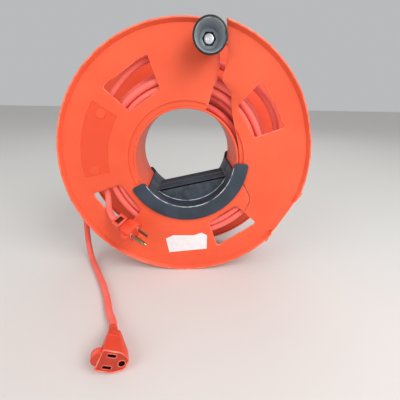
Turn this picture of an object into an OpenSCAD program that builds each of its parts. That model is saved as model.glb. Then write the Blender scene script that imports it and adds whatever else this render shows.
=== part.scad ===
// Extension cord reel: two flanges on a hollow hub, a handle that rides round the hand hole,
// a crank knob, and a wound three-wire cord with its plug and receptacle.
// Inside the modules the origin is the reel's axis on the front rim plane: x to the right,
// y to the back, z up, and bearings are counted from +x towards +z.
// at_reel() then stands the reel on its rim, with z = 0 where it rests.

/* [Reel] */
// Outer diameter of both flanges
reel_d = 330; // [324:2:340]
// Overall width across the two rims
reel_w = 100; // [98:1:106]
// Depth of the rim bead
rim_depth = 9; // [7:0.5:11]
// Radial thickness of the rim bead
rim_t = 2.4; // [2:0.2:4]
// Radial width of the sloping band inside the bead
rim_slope = 3; // [2:0.2:6]
// How far the flange's face lies behind the rim
face_recess = 4; // [3.5:0.1:4.5]
// Thickness of a flange's plate
plate_t = 3; // [2.4:0.2:3.4]

/* [Hub] */
// Bore of the hand hole
hand_hole_d = 133; // [130:0.5:136]
// Wall of the hub tube
hub_wall = 3; // [2.4:0.2:3.4]
// How far the hub tube's end lies behind the face
hub_setback = 1; // [0.5:0.1:1.5]
// Outer radius of the groove round the hub
groove_r = 76; // [75:0.2:77.4]
// Depth of that groove
groove_depth = 2; // [1:0.2:2.4]
// Outer radius of the spigot rings and collars
collar_r = 79; // [78.6:0.1:79.2]
// Height of a flange's spigot ring behind the plate
spigot_h = 3; // [2:0.2:3.4]
// Thickness of a hub collar
collar_t = 2.5; // [2:0.1:2.6]
// Diameter of the pegs that join hub and flanges
peg_d = 4; // [3:0.2:4.4]
// Radius of the circle that the pegs stand on
peg_circle_r = 74.5; // [74.2:0.1:75]
// Length of a peg
peg_len = 3; // [2:0.2:3.4]

/* [Windows] */
// Number of windows in the front flange
window_n = 4; // [3:1:4]
// Bearing of the first window's middle
window_bearing = 34.2; // [32:0.2:36]
// Distance from the axis to a window's inner edge
window_in = 91; // [88:0.5:94]
// Distance from the axis to a window's outer edge
window_out = 131; // [124:0.5:135]
// Angle from a window's middle to its side edge
window_half = 14.3; // [12:0.1:15]
// Radius of a window's corners
window_corner = 5; // [3:0.5:8]

/* [Cord slot] */
// Gap between the hub and the sprung flap
flap_gap = 1.1; // [0.8:0.1:1.4]
// Width of the slit round the flap's root
slit_w = 1; // [0.6:0.1:1.4]
// How far the sprung flap's tip stands forward
flap_lift = 21; // [0:1:22]

/* [Foot] */
// Bearing of the flat that the reel can stand on
foot_bearing = -30; // [-32:0.5:-28]
// How deep the flat cuts into the round
foot_cut = 5; // [4:0.5:7]
// Length of the flat
foot_len = 86.6; // [80:0.2:92]
// Length of the toe at each end of the flat
toe_len = 15; // [10:1:20]
// Height of the toes
toe_h = 1; // [0.6:0.1:1.5]

/* [Label panel] */
// Bearing where the panel starts
panel_from = 147; // [145:0.5:150]
// Bearing where the panel ends
panel_to = 189.5; // [185:0.5:192]
// Inner radius of the panel
panel_in = 102; // [98:0.5:106]
// Outer radius of the panel
panel_out = 136.5; // [130:0.5:142]
// Depth of the panel
panel_depth = 0.5; // [0.3:0.1:0.8]
// Diameter of the two round bosses on the panel
button_d = 13; // [10:0.5:15]
// Height of those bosses over the panel
button_h = 0.8; // [0.5:0.1:1.2]

/* [Knob] */
// Distance from the flange's edge in to the knob's axis
knob_inset = 22; // [21:0.5:24]
// Bearing of the knob's axis
knob_bearing = 80; // [79:0.5:84]
// How far the knob stands in front of the rim
knob_proud = 30; // [26:0.5:34]
// Diameter of the knob's mouth
knob_d = 37.5; // [36:0.5:41]
// Diameter of the knob's base
knob_base_d = 26; // [24:0.5:28]
// Wall of the knob's cup at the mouth
knob_wall = 2; // [1.6:0.1:2.6]
// Depth of the cup
cup_depth = 20; // [17:0.5:21]
// Diameter of the cup's floor
cup_floor_d = 20; // [18.5:0.5:21]
// Width across the flats of the well in the cup's floor
well_af = 15; // [13.5:0.5:16]
// Depth of that well
well_depth = 3; // [2.5:0.5:4]
// Diameter of the bolt's shank
bolt_d = 6; // [5:0.5:6.5]
// Running clearance of the knob on the bolt, on the radius
knob_clear = 0.08; // [0.04:0.01:0.1]
// Play of the knob along the bolt, at each end
knob_play = 0.3; // [0.2:0.05:0.5]
// Diameter of the bolt's head
head_d = 11; // [10:0.5:12]
// Height of the bolt's head
head_h = 3.4; // [3:0.2:4]
// Diameter of the front washer
washer_d = 18; // [16:0.5:20]
// Thickness of both washers
washer_t = 1.2; // [0.8:0.1:1.4]
// Height of the boss behind the plate at the bolt
bolt_boss_h = 1.6; // [1:0.2:1.8]
// Width of the nut across its flats
nut_af = 10; // [9.5:0.5:11]
// Height of the nut
nut_h = 4; // [3.5:0.1:4.4]

/* [Handle] */
// Bearing of the handle's middle
handle_bearing = -77.3; // [-90:0.1:-60]
// Clearance of the handle in the hand hole and on the faces
handle_clear = 0.3; // [0.2:0.05:0.5]
// Wall of the handle's parts
handle_wall = 3.2; // [2.6:0.1:3.5]
// Outer radius of the handle's arc flange
arc_r = 83; // [80:0.5:84]
// Angle from the handle's middle to the end of its arc
arc_half = 75.6; // [66:0.2:80]
// Radius of the corners at the arc's ends
arc_corner = 4.5; // [2:0.5:7]
// How far the grip's web lies behind the handle's front
web_setback = 24.5; // [18:0.5:28]
// Distance from the axis to the grip's flat top
grip_dist = 36.5; // [34:0.5:38]
// Shank diameter of the handle's screws
screw_d = 4; // [3:0.5:4.5]
// Diameter of the screw bosses
boss_d = 9; // [8:0.5:10]
// Distance from the axis to the screws
screw_arm = 53; // [52.6:0.2:54]
// Angle between neighbouring screws
screw_step = 25; // [20:1:27]

/* [Cord] */
// Outer diameter of the cord
cord_d = 8.5; // [7.6:0.1:8.7]
// Step from one turn of the winding to the next
turn_step = 9.4; // [9.3:0.1:9.8]
// Centre radius of the innermost front turn
front_in_r = 84.4; // [84:0.2:85.4]
// Centre radius of the outer layer
layer_r = 109; // [108:0.2:110]

/* [Plug and receptacle] */
// Distance between the blades
blade_gap = 12.7; // [12.5:0.1:12.9]
// Width of a blade
blade_w = 6.35; // [6:0.05:6.6]
// Thickness of a blade
blade_t = 1.5; // [1.4:0.05:1.6]
// Length of a blade in front of the plug
blade_len = 17; // [15.5:0.5:18.3]
// Diameter of the ground pin
pin_d = 4.8; // [4.7:0.05:4.9]
// Length of the ground pin in front of the plug
pin_len = 20; // [18:0.5:21]
// Distance from the blades' middle to the ground pin
ground_dist = 11.9; // [11.7:0.1:12.1]
// Length of the plug's body
plug_len = 22; // [20:0.5:22]
// Diameter of the plug's body
plug_d = 30; // [29:0.5:31]
// Thickness of the plug's body across the blades
plug_flat = 23; // [21:0.5:24]
// Length of the plug's strain relief
plug_relief_len = 10; // [10:0.5:12]
// Length of the receptacle's body
socket_len = 34; // [32:0.5:36]
// Diameter of the receptacle's face
socket_d = 29.5; // [28.5:0.5:30]
// Thickness of the receptacle across its slots
socket_flat = 23; // [22.6:0.1:23.6]
// Length of the receptacle's straight part behind its face
socket_front_len = 14; // [12:0.5:16]
// Length of the receptacle's strain relief
socket_relief_len = 16; // [16:0.5:18]
// Depth of the chambers behind the receptacle's face
chamber_depth = 15; // [14.5:0.1:15.5]
// Thickness of the receptacle's contact leaves
leaf_t = 0.8; // [0.6:0.1:1]

/* [Tape] */
// Thickness of the paper tape
tape_t = 0.2; // [0.1:0.05:0.4]

/* [Hidden] */
$fn = 96;
eps = 0.02;                              // overlap of pieces that are moulded in one
fit = 0.1;                               // clearance of a piece that is put in its seat

// The reel
reel_r = reel_d / 2;
front_y = (knob_proud - reel_w) / 2;     // the rim plane's place in the part's own frame
plate_back = face_recess + plate_t;
foot_dist = reel_r - foot_cut;

// The hub
bore_r = hand_hole_d / 2;
hub_r = bore_r + hub_wall;
hub_seat_r = hub_r + fit;                // hole in a flange round the hub tube
spigot_y = plate_back + spigot_h;
peg_bearings = [100, 145, 190, 235, 280, 315];

// The slot: its edges as [distance out from the hub's seat, bearing]
slot_left = [[64.4, 72.9], [52.9, 71.2], [36.9, 69.9], [28.3, 70.5], [11.5, 69.6]];
slot_right = [[2.4, 20.3], [4.6, 30.4], [11.7, 43.8], [20.9, 52.3], [29.4, 56.4], [32.9, 59.2],
    [38.4, 67.4], [59.1, 68.8], [66.6, 70]];
slot_mouth = [77.9, 75.5];               // bearings of the two edges at the rim
slot_hub = [8, 69.5];                    // the slot lies open to the hub between these bearings
slot_middle = [[64.4, 71.4], [52.4, 69.8], [38.4, 68.7], [30.4, 64], [10.4, 58]];
slit_from = -18;                         // bearing where the slit leaves the hub
slit_route = [[-1, -17.6], [12.8, -21.6], [18.6, -23.8], [25, -26.6], [31, -29.3], [35.2, -32],
    [37, -35], [38.7, -38.6], [39.7, -40.6]];
mouth_r = reel_r + 4;                    // the slot runs out past the rim
flap_axis = 17;                          // the flap tilts forward about this bearing
flap_from = 14;                          // bearing where its own plate starts
flap_step = 5;                           // angle between the plate's creases
flap_ease = 24;                          // radial width over which it rises from the hub's face

// The knob and its bolt
knob_arm = reel_r - knob_inset;
bolt_bore = bolt_d + 2 * knob_clear;
washer_y = face_recess - washer_t;
knob_base_y = washer_y - knob_play;
cup_floor_y = cup_depth - knob_proud;
well_y = cup_floor_y + well_depth;       // floor of the well
head_y = well_y - knob_play;             // underside of the bolt's head
bolt_boss_y = plate_back + bolt_boss_h;
nut_y = bolt_boss_y + washer_t;
bolt_end_y = nut_y + nut_h + 1;
hex = 1 / cos(30);                       // across corners over across flats

// The handle
handle_r = bore_r - handle_clear;        // outer radius of the liner
liner_r = handle_r - handle_wall;
arc_y = face_recess - handle_clear - handle_wall;
flat_r = arc_r + 1;                      // the flap stays flat where the arc passes over it
arc_cut = arc_half - 8;                  // the rounded ends start here
web_y = arc_y + web_setback;
web_r = liner_r + eps;
grip_half = sqrt(web_r * web_r - grip_dist * grip_dist);
half_w = reel_w / 2;                     // the handle's halves meet here
screw_turns = [-screw_step, 0, screw_step];
pilot_depth = 18;                        // how far a screw reaches into the front half
screw_head_d = 8;
screw_head_h = 2.4;

// The winding
cord_r = cord_d / 2;
cord_clear = 0.5;                        // between the winding and what it lies against
front_plane = plate_back + cord_clear + cord_r + 0.3;
rear_plane = reel_w - front_plane;
coil_rings = 24;                         // rings in each turn
coil_sides = 6;
chord = cos(180 / coil_rings);           // a turn's flat sides come this much nearer to the axis
core_y = front_plane + cord_r + cord_clear;
core_r = chord * (layer_r - cord_r) - cord_clear;
// The front turns: a spiral out to loose_from, then one loose turn that ends beside the plug
loose_from = 321;
loose_to = 555;
front_turns = (layer_r - front_in_r) / turn_step;
loose_r = [[321, layer_r], [350, 116], [370, 124.5], [392, 131], [410, 127.5], [429, 123], [448, 127],
    [472, 133], [499, 123.3], [525, 118.5], [555, 117.7]];
loose_y = [[321, front_plane], [350, 15], [370, 19], [395, 22.5], [460, 22.5], [485, 18], [510, 15],
    [555, 15]];
// The outer turns: [radial, depth] step of each turn, rounding the rear corner
corner = [0, 30, 60];
outer_end_y = 25;                        // depth where the free cord leaves
outer_end_bearing = 150;
helix_r = layer_r;
outer_in_r = helix_r - turn_step * (cos(corner[0]) + cos(corner[1]) + cos(corner[2]));
helix_y = rear_plane - turn_step * (sin(corner[0]) + sin(corner[1]) + sin(corner[2]));
helix_turns = (helix_y - outer_end_y) / turn_step;
outer_turns = len(corner) + helix_turns;

// The tape's torn outline, in x and z
tape_outline = [[-29.6, -113.8], [-18.6, -108.8], [11.2, -108.9], [22.1, -104.9], [30.2, -109],
    [30.2, -131.1], [-25.1, -136.8]];

// The plug and the receptacle
body_shift = 3.5;                        // from the blades' middle to the body's axis, towards ground
relief_d = 13;                           // larger end of a strain relief
relief_tip_d = 10.6;
ear_d = 11;                              // finger lobes of the plug
ear_at = 10.5;
grip_lobe_d = 15;                        // the receptacle's finger lobe, opposite its ground hole
lobe_at = 15;
lobe_t = 5;
side_r = 18;                             // radius of the bodies' flatter sides
root_len = 6;                            // how far blades and pin reach into the plug
slot_h = blade_w + 0.9;
slot_t = 2;
chamber_t = 3.4;
face_t = 3;                              // the receptacle's front wall over the chambers
chamber_len = 11;
ground_hole_d = pin_d + 0.5;
sleeve_t = 0.7;

// Free cords: points along each route
plug_at = [-68, -28, -88];               // middle between the blades, on the plug's front
plug_turn = [110.7, -31.3, -65.9];       // pitch, yaw and roll of the plug
socket_at = [-70, -168, -149.8];         // middle between the slots, on the receptacle's face
socket_turn = [84, -75.5, -26.3];
loose_end = coil_point(loose_to, front_path(loose_to));
loose_dir = [-sin(loose_to), 0, cos(loose_to)];
outer_end = coil_point(outer_end_bearing, [helix_r, outer_end_y]);
outer_dir = [-sin(outer_end_bearing), 0, cos(outer_end_bearing)];
plug_dir = carried(plug_turn, [0, 0, 1]);
socket_dir = carried(socket_turn, [0, 0, 1]);
plug_tail = plug_at + carried(plug_turn, [0, body_shift, -plug_len - plug_relief_len]);
socket_tail = socket_at + carried(socket_turn, [0, body_shift, -socket_len - socket_relief_len]);
lead_route = [loose_end + cord_d * loose_dir, loose_end + 2 * cord_d * loose_dir, [-109, 10.5, -55.5],
    [-108, 4.5, -63.5], [-105.5, -1.5, -71], plug_tail - cord_d * plug_dir, plug_tail];
tail_route = [outer_end + cord_d * outer_dir, outer_end + 2 * cord_d * outer_dir,
    [-115, 25.5, 18], [-129, 28, -7], [-142, 34, -36],
    [-151, 40, -68], [-155.5, 44, -100], [-156, 42, -126], [-152.5, 34, -147], [-145, 20, -158.4],
    [-134, 0, -160.5], [-122, -22, -160.5], [-110, -45, -160.5], [-99, -70, -160.5],
    [-90, -94, -159.5], socket_tail - cord_d * socket_dir, socket_tail];
tube_sides = 8;

function unit(v) = v / norm(v);
function polar(r, a) = [r * cos(a), r * sin(a)];
// A vector turned by roll about z, then pitch about y, then yaw about z
function about_z(a, v) = [v[0] * cos(a) - v[1] * sin(a), v[0] * sin(a) + v[1] * cos(a), v[2]];
function about_y(a, v) = [v[0] * cos(a) + v[2] * sin(a), v[1], v[2] * cos(a) - v[0] * sin(a)];
function carried(t, v) = about_z(t[1], about_y(t[0], about_z(t[2], v)));
function out_from_hub(list) = [for (p = list) polar(hub_seat_r + p[0], p[1])];

// A point on a smooth curve through four neighbours, between the second and the third
function between(a, b, c, d, t) = 0.5 * (2 * b + (c - a) * t + (2 * a - 5 * b + 4 * c - d) * t * t
    + (3 * b - a - 3 * c + d) * t * t * t);
function smooth(p, n) = let (m = len(p) - 1) concat([for (i = [0:m - 1], k = [0:n - 1])
    between(i == 0 ? 2 * p[0] - p[1] : p[i - 1], p[i], p[i + 1],
        i == m - 1 ? 2 * p[m] - p[m - 1] : p[i + 2], k / n)], [p[m]]);
function heading(p, i) = unit(p[i + 1] - p[i - 1]);

// Ring of points round c, square to t and turned from the side vector
function ring(c, t, side, r, n) = let (u = unit(side - (side * t) * t), v = cross(t, u))
    [for (k = [0:n - 1]) c + r * (cos(360 * k / n) * u + sin(360 * k / n) * v)];

// Places on the winding: [centre radius, depth] at a bearing, and its point in space
function coil_point(a, p) = [p[0] * cos(a), p[1], p[0] * sin(a)];
function front_path(a) = a < loose_from
    ? [layer_r - turn_step * (loose_from - a) / 360, front_plane]
    : [lookup(a, loose_r), lookup(a, loose_y)];
function outer_step(k) = k < len(corner) ? [cos(corner[k]), -sin(corner[k])] : [0, -1];
function outer_path(t, k = 0) = t <= 1 ? t * turn_step * outer_step(k)
    : turn_step * outer_step(k) + outer_path(t - 1, k + 1);
function coil_line(from, to, fn_front) = [for (i = [0:ceil((to - from) * coil_rings / 360)])
    let (a = min(to, from + 360 * i / coil_rings), p = fn_front ? front_path(a)
        : [outer_in_r, rear_plane] + outer_path((a - from) / 360)) coil_point(a, p)];
// Least distance between turns, measured on the points that are over half a turn apart
function least_gap(p) = min([for (i = [0:len(p) - 1], j = [i + coil_rings / 2:1:len(p) - 1])
    norm(p[i] - p[j])]) - cord_d;

module at_reel() {
    translate([0, front_y, reel_r]) children();
}

// A flat outline in x and z, from one depth to another
module slab(from, to) {
    translate([0, to, 0]) rotate([90, 0, 0]) linear_extrude(to - from) children();
}

// A profile of radius and depth, turned about the y axis
module turned() {
    rotate([90, 0, 0]) mirror([0, 0, 1]) rotate_extrude() children();
}

// The rear half of a pair, made from the front one
module at_rear() {
    translate([0, reel_w, 0]) mirror([0, 1, 0]) children();
}

// A cord along a route, with its ends square to the route's first and last steps
module tube(route, side) {
    line = smooth(route, 2);
    n = len(line);
    m = len(route);
    sides = tube_sides;
    points = [for (i = [0:n - 1]) each ring(line[i], i == 0 ? unit(route[1] - route[0])
        : i == n - 1 ? unit(route[m - 1] - route[m - 2]) : heading(line, i), side, cord_r, sides)];
    walls = [for (i = [0:n - 2], k = [0:sides - 1]) let (a = i * sides + k,
        b = i * sides + (k + 1) % sides) each [[a, b, b + sides], [a, b + sides, a + sides]]];
    caps = [for (k = [1:sides - 2]) each [[0, k + 1, k],
        [(n - 1) * sides, (n - 1) * sides + k, (n - 1) * sides + k + 1]]];
    polyhedron(points, concat(walls, caps));
}

// A wound tube: rings stand square to their bearing, and the ends run straight
module wound(from, to, fn_front) {
    line = coil_line(from, to, fn_front);
    n = len(line);
    echo(str(fn_front ? "front turns" : "outer turns", ": least gap ", least_gap(line), " mm"));
    start_dir = [sin(from), 0, -cos(from)];
    end_dir = [-sin(to), 0, cos(to)];
    straight = concat([line[0] + cord_d * start_dir], line, [line[n - 1] + cord_d * end_dir]);
    bearings = concat([from], [for (i = [0:n - 1]) min(to, from + 360 * i / coil_rings)], [to]);
    m = len(straight);
    points = [for (i = [0:m - 1], k = [0:coil_sides - 1]) let (a = bearings[i],
        w = 360 * k / coil_sides) straight[i]
        + cord_r * [cos(w) * cos(a), sin(w), cos(w) * sin(a)]];
    walls = [for (i = [0:m - 2], k = [0:coil_sides - 1]) let (a = i * coil_sides + k,
        b = i * coil_sides + (k + 1) % coil_sides)
        each [[a, b + coil_sides, b], [a, a + coil_sides, b + coil_sides]]];
    last = (m - 1) * coil_sides;
    caps = [for (k = [1:coil_sides - 2]) each [[0, k, k + 1], [last, last + k + 1, last + k]]];
    polyhedron(points, concat(walls, caps));
}

module half_plane(dist, bearing) {
    rotate(bearing) translate([dist, -2 * reel_r]) square(4 * reel_r);
}

module sector(from, to, r) {
    polygon(concat([[0, 0]], [for (i = [0:8]) polar(r, from + (to - from) * i / 8)]));
}

module window() {
    middles = [window_in + window_corner, window_out - window_corner];
    sides = [for (x = middles) x * tan(window_half) - window_corner / cos(window_half)];
    centres = [[middles[0], sides[0]], [middles[1], sides[1]], [middles[1], -sides[1]],
        [middles[0], -sides[0]]];
    lean = 90 + window_half;
    turns = [180, lean, 0, -lean, -180];
    polygon([for (i = [0:3], k = [0:4])
        centres[i] + polar(window_corner, turns[i] + (turns[i + 1] - turns[i]) * k / 4)]);
}

module windows() {
    for (i = [0:window_n - 1]) rotate(window_bearing + 360 * i / window_n) window();
}

module slot() {
    hub_end = [for (i = [0:8]) polar(hub_seat_r - 1, slot_hub[1] + (slit_from - slot_hub[1]) * i / 8)];
    flap_end = [for (i = [0:4]) polar(hub_seat_r + flap_gap, slit_from + (slot_hub[0] - slit_from) * i / 4)];
    polygon(concat([polar(mouth_r, slot_mouth[0])], out_from_hub(slot_left), hub_end, flap_end,
        out_from_hub(slot_right), [polar(mouth_r, slot_mouth[1])]));
}

module slit() {
    line = out_from_hub(slit_route);
    last = len(line) - 1;
    edge = [for (i = [0:last]) let (d = unit(line[min(i + 1, last)] - line[max(i - 1, 0)]))
        slit_w / 2 * [-d[1], d[0]]];
    polygon(concat([for (i = [0:last]) line[i] + edge[i]], [for (i = [last:-1:0]) line[i] - edge[i]]));
}

// How far the flap stands forward at a radius and a bearing
function lift(r, a) = flap_lift * max(0, r * sin(a - flap_axis))
    / (reel_r * sin(slot_mouth[1] - flap_axis)) * min(1, max(0, (r - flat_r) / flap_ease));

// The flap's side of the slot, from a bearing on
module flap_zone(from) {
    polygon(concat([[0, 0], polar(2 * reel_r, from), polar(2 * reel_r, (from + slot_mouth[1]) / 2),
        polar(mouth_r, (slot_mouth[0] + slot_mouth[1]) / 2)], out_from_hub(slot_middle)));
}

// The flange's section carried round the flap's bearings, each point lifted forward
module flap_plate() {
    lap = 0.05;
    in_r = reel_r - rim_t;
    groove_y = face_recess + groove_depth;
    front = [[0, groove_y], [groove_r + lap, groove_y], [groove_r + 2 * lap, face_recess],
        [in_r - rim_slope, face_recess], [in_r, 0.6], [in_r + 0.6, 0], [reel_r - 0.8, 0], [reel_r, 0.8]];
    back = [[0, spigot_y], [collar_r - 2 * lap, spigot_y], [collar_r - lap, plate_back],
        [in_r + lap, plate_back], [in_r + 2 * lap, rim_depth]];
    radii = [hub_seat_r - 1, groove_r + lap, groove_r + 2 * lap, collar_r - 2 * lap, collar_r - lap,
        flat_r, flat_r + flap_ease / 3, flat_r + 2 * flap_ease / 3, flat_r + flap_ease,
        in_r - rim_slope, in_r, in_r + lap, in_r + 2 * lap, in_r + 0.6, reel_r - 0.8, reel_r, reel_r + 2];
    bearings = concat([flap_from - 1], [for (a = [flap_axis:flap_step:slot_mouth[1] + flap_step]) a]);
    m = len(radii);
    n = len(bearings);
    points = concat(
        [for (a = bearings, r = radii) [r * cos(a), lookup(r, front) - lift(r, a) + eps, r * sin(a)]],
        [for (a = bearings, r = radii) [r * cos(a), lookup(r, back) - lift(r, a) - eps, r * sin(a)]]);
    k = m * n;
    faces = concat(
        [for (i = [0:n - 2], j = [0:m - 2]) let (a = i * m + j, b = a + m)
            each [[a, b, b + 1], [a, b + 1, a + 1], [k + a, k + b + 1, k + b], [k + a, k + a + 1, k + b + 1]]],
        [for (i = [0:n - 2], j = [0, m - 1]) let (a = i * m + j, b = a + m)
            each j == 0 ? [[a, k + b, b], [a, k + a, k + b]] : [[a, b, k + b], [a, k + b, k + a]]],
        [for (i = [0, n - 1], j = [0:m - 2]) let (a = i * m + j, b = a + 1)
            each i == 0 ? [[a, b, k + b], [a, k + b, k + a]] : [[a, k + b, b], [a, k + a, k + b]]]);
    polyhedron(points, faces);
}

module rim() {
    in_r = reel_r - rim_t;
    turned() polygon([[in_r - rim_slope, face_recess], [in_r, 0.6], [in_r + 0.6, 0], [reel_r - 0.8, 0],
        [reel_r, 0.8], [reel_r, rim_depth], [in_r, rim_depth], [in_r, plate_back - eps],
        [in_r - rim_slope, plate_back - eps]]);
}

module foot() {
    rotate(foot_bearing) {
        translate([foot_dist - rim_t, -foot_len / 2]) square([rim_t, foot_len]);
        for (y = [-foot_len / 2, foot_len / 2 - toe_len])
            translate([foot_dist - eps, y]) square([toe_h + eps, toe_len]);
    }
}

module pegs(d) {
    for (b = peg_bearings) translate(polar(peg_circle_r, b)) circle(d = d, $fn = 32);
}

module at_knob() {
    translate(polar(knob_arm, knob_bearing)) children();
}

// A flange without the front one's windows, slot, panel and bolt boss
module flange() {
    difference() {
        union() {
            difference() {
                union() {
                    slab(face_recess, plate_back) circle(reel_r - rim_t - rim_slope + eps);
                    rim();
                }
                slab(-1, rim_depth + 1) half_plane(foot_dist - eps, foot_bearing);
            }
            slab(0, rim_depth) foot();
            slab(plate_back - eps, spigot_y) circle(collar_r);
        }
        slab(-1, spigot_y + 1) circle(hub_seat_r);
        slab(0, face_recess + groove_depth) circle(groove_r);
        slab(spigot_y - peg_len - fit, spigot_y + 1) pegs(peg_d + 2 * fit);
    }
}

module front_flange() {
    color("tomato") at_reel() {
        intersection() {
            flap_plate();
            slab(-2 * flap_lift - 1, spigot_y + 1) intersection() {
                difference() {
                    circle(reel_r - eps);
                    circle(hub_seat_r + eps);
                    windows();
                    slot();
                }
                flap_zone(flap_from);
            }
        }
        difference() {
            union() {
                flange();
                slab(plate_back - eps, bolt_boss_y) at_knob() circle(d = washer_d);
            }
            slab(-1, bolt_boss_y + 1) at_knob() circle(d = bolt_d + 2 * fit);
            slab(-1, spigot_y + 1) {
                windows();
                slot();
                slit();
                flap_zone(flap_from + 0.3);
            }
            slab(0, face_recess + panel_depth) difference() {
                sector(panel_from, panel_to, 2 * panel_out);
                circle(panel_in);
                difference() {
                    circle(2 * reel_r);
                    circle(panel_out);
                }
            }
        }
        slab(face_recess + panel_depth - button_h, face_recess + panel_depth + eps)
            for (b = [panel_from + 4, panel_to - 4])
                translate(polar((panel_in + panel_out) / 2 + 2, b)) circle(d = button_d);
    }
}

module rear_flange() {
    color("tomato") at_reel() at_rear() flange();
}

module collar() {
    slab(spigot_y, spigot_y + collar_t) difference() {
        circle(collar_r);
        circle(bore_r + hub_wall / 2);
        children();
    }
}

module hub_tube() {
    end_y = face_recess + hub_setback;
    color("coral") at_reel() {
        turned() polygon([[bore_r, end_y], [hub_r, end_y], [hub_r, reel_w - end_y],
            [bore_r, reel_w - end_y]]);
        collar() sector(slit_from, slot_hub[1], 2 * collar_r);
        slab(spigot_y - peg_len, spigot_y + eps) pegs(peg_d);
        at_rear() {
            collar();
            slab(spigot_y - peg_len, spigot_y + eps) pegs(peg_d);
        }
    }
}

module arc_band(out_r, half) {
    intersection() {
        difference() {
            circle(out_r);
            circle(liner_r);
        }
        sector(-half, half, 2 * out_r);
    }
}

// The end of the arc, with rounded corners
module arc_end() {
    out_r = arc_r - arc_corner - eps;
    in_r = liner_r + arc_corner + eps;
    out_turn = arc_half - asin(arc_corner / out_r);
    in_turn = arc_half - asin(arc_corner / in_r);
    square_turn = arc_half + 90;
    polygon(concat([polar(liner_r + eps, arc_cut - 2), polar(arc_r - eps, arc_cut - 2)],
        [for (k = [0:4]) polar(out_r, out_turn)
            + polar(arc_corner, out_turn + (square_turn - out_turn) * k / 4)],
        [for (k = [0:4]) polar(in_r, in_turn)
            + polar(arc_corner, square_turn + (in_turn + 180 - square_turn) * k / 4)]));
}

module screw_places() {
    rotate(handle_bearing) for (a = screw_turns) rotate(a) translate([screw_arm, 0]) children();
}

// Half of the handle: its arc on the face, its liner in the hand hole and its half of the grip
module handle_half(hole_from) {
    difference() {
        union() {
            slab(arc_y, arc_y + handle_wall) rotate(handle_bearing) {
                arc_band(arc_r, arc_cut);
                arc_end();
                mirror([0, 1]) arc_end();
            }
            slab(arc_y, half_w) rotate(handle_bearing) arc_band(handle_r, arc_cut - 1);
            slab(web_y, web_y + handle_wall) rotate(handle_bearing) intersection() {
                circle(web_r);
                half_plane(grip_dist, 0);
            }
            slab(web_y, half_w) rotate(handle_bearing) translate([grip_dist, -grip_half])
                square([handle_wall, 2 * grip_half]);
            slab(web_y, half_w) screw_places() circle(d = boss_d);
        }
        slab(hole_from, half_w + 1) screw_places() circle(d = screw_d + 2 * fit);
    }
}

module handle_front() {
    color("darkslategray") at_reel() handle_half(half_w - pilot_depth);
}

module handle_rear() {
    color("darkslategray") at_reel() at_rear() handle_half(web_y - 1);
}

module handle_screws() {
    seat_y = reel_w - web_y;
    color("silver") at_reel() {
        slab(half_w - pilot_depth + 1, seat_y) screw_places() circle(d = screw_d);
        slab(seat_y, seat_y + screw_head_h) screw_places() circle(d = screw_head_d);
    }
}

module spin_knob() {
    mouth_r = knob_d / 2;
    base_r = knob_base_d / 2;
    floor_r = cup_floor_d / 2;
    bore = bolt_bore / 2;
    flare = mouth_r - base_r;
    knob_len = knob_base_y + knob_proud;
    lip_r = mouth_r - knob_wall;
    color("dimgray") at_reel() difference() {
        translate([polar(knob_arm, knob_bearing)[0], 0, polar(knob_arm, knob_bearing)[1]]) turned()
            polygon([[bore, knob_base_y], [base_r - 0.6, knob_base_y], [base_r, knob_base_y - 0.6],
                [base_r + 0.1 * flare, knob_base_y - 0.25 * knob_len],
                [base_r + 0.45 * flare, knob_base_y - 0.55 * knob_len],
                [base_r + 0.85 * flare, knob_base_y - 0.82 * knob_len],
                [mouth_r, 1.6 - knob_proud], [mouth_r - 0.4, 0.3 - knob_proud],
                [mouth_r - 1, -knob_proud], [lip_r, 0.6 - knob_proud],
                [lip_r - 0.5, 0.25 * cup_depth - knob_proud],
                [floor_r + 1, cup_floor_y - 1.2], [floor_r, cup_floor_y], [bore, cup_floor_y]]);
        slab(cup_floor_y - 1, well_y) at_knob() circle(d = well_af * hex, $fn = 6);
    }
}

module knob_bolt() {
    top_y = head_y - head_h;
    head_r = head_d / 2;
    dish = 1.2;
    color("silver") at_reel() translate([polar(knob_arm, knob_bearing)[0], 0, polar(knob_arm, knob_bearing)[1]])
        turned() polygon([[0, top_y + dish], [head_r / 2, top_y + dish], [head_r / 2 + 0.5, top_y],
            [head_r - 0.6, top_y], [head_r, top_y + 0.6], [head_r, head_y], [bolt_d / 2, head_y],
            [bolt_d / 2, bolt_end_y], [0, bolt_end_y]]);
}

module washer(from, d) {
    slab(from, from + washer_t) at_knob() difference() {
        circle(d = d);
        circle(d = bolt_d + 2 * fit);
    }
}

module knob_washer() {
    color("gray") at_reel() washer(washer_y, washer_d);
}

module knob_back_washer() {
    color("gray") at_reel() washer(bolt_boss_y, washer_d - 3);
}

module knob_nut() {
    color("silver") at_reel() slab(nut_y, nut_y + nut_h) at_knob() difference() {
        circle(d = nut_af * hex, $fn = 6);
        circle(d = bolt_d + 2 * fit);
    }
}

module paper_tape() {
    color("white") at_reel() slab(face_recess - tape_t, face_recess) polygon(tape_outline);
}

// The inner turns of the cord, as one plain ring
module cord_core() {
    lap = 0.4;
    inner_y = spigot_y + collar_t + 0.3;
    offset_r = (cord_r + cord_clear) / cos(15);
    rear_corner = [for (k = [1:3]) let (w = 30 * k - 15, p = [outer_in_r, rear_plane] + outer_path(k))
        [chord * p[0] - offset_r * sin(w), p[1] - offset_r * cos(w)]];
    color("salmon") at_reel() turned() polygon(concat([[hub_r + lap, inner_y],
        [collar_r + lap, inner_y], [collar_r + lap, core_y], [core_r, core_y]],
        [for (k = [2:-1:0]) rear_corner[k]],
        [[collar_r + lap, reel_w - core_y], [collar_r + lap, reel_w - inner_y],
        [hub_r + lap, reel_w - inner_y]]));
}

module cord_front_turns() {
    color("salmon") at_reel() wound(loose_from - 360 * front_turns, loose_to, true);
}

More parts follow.
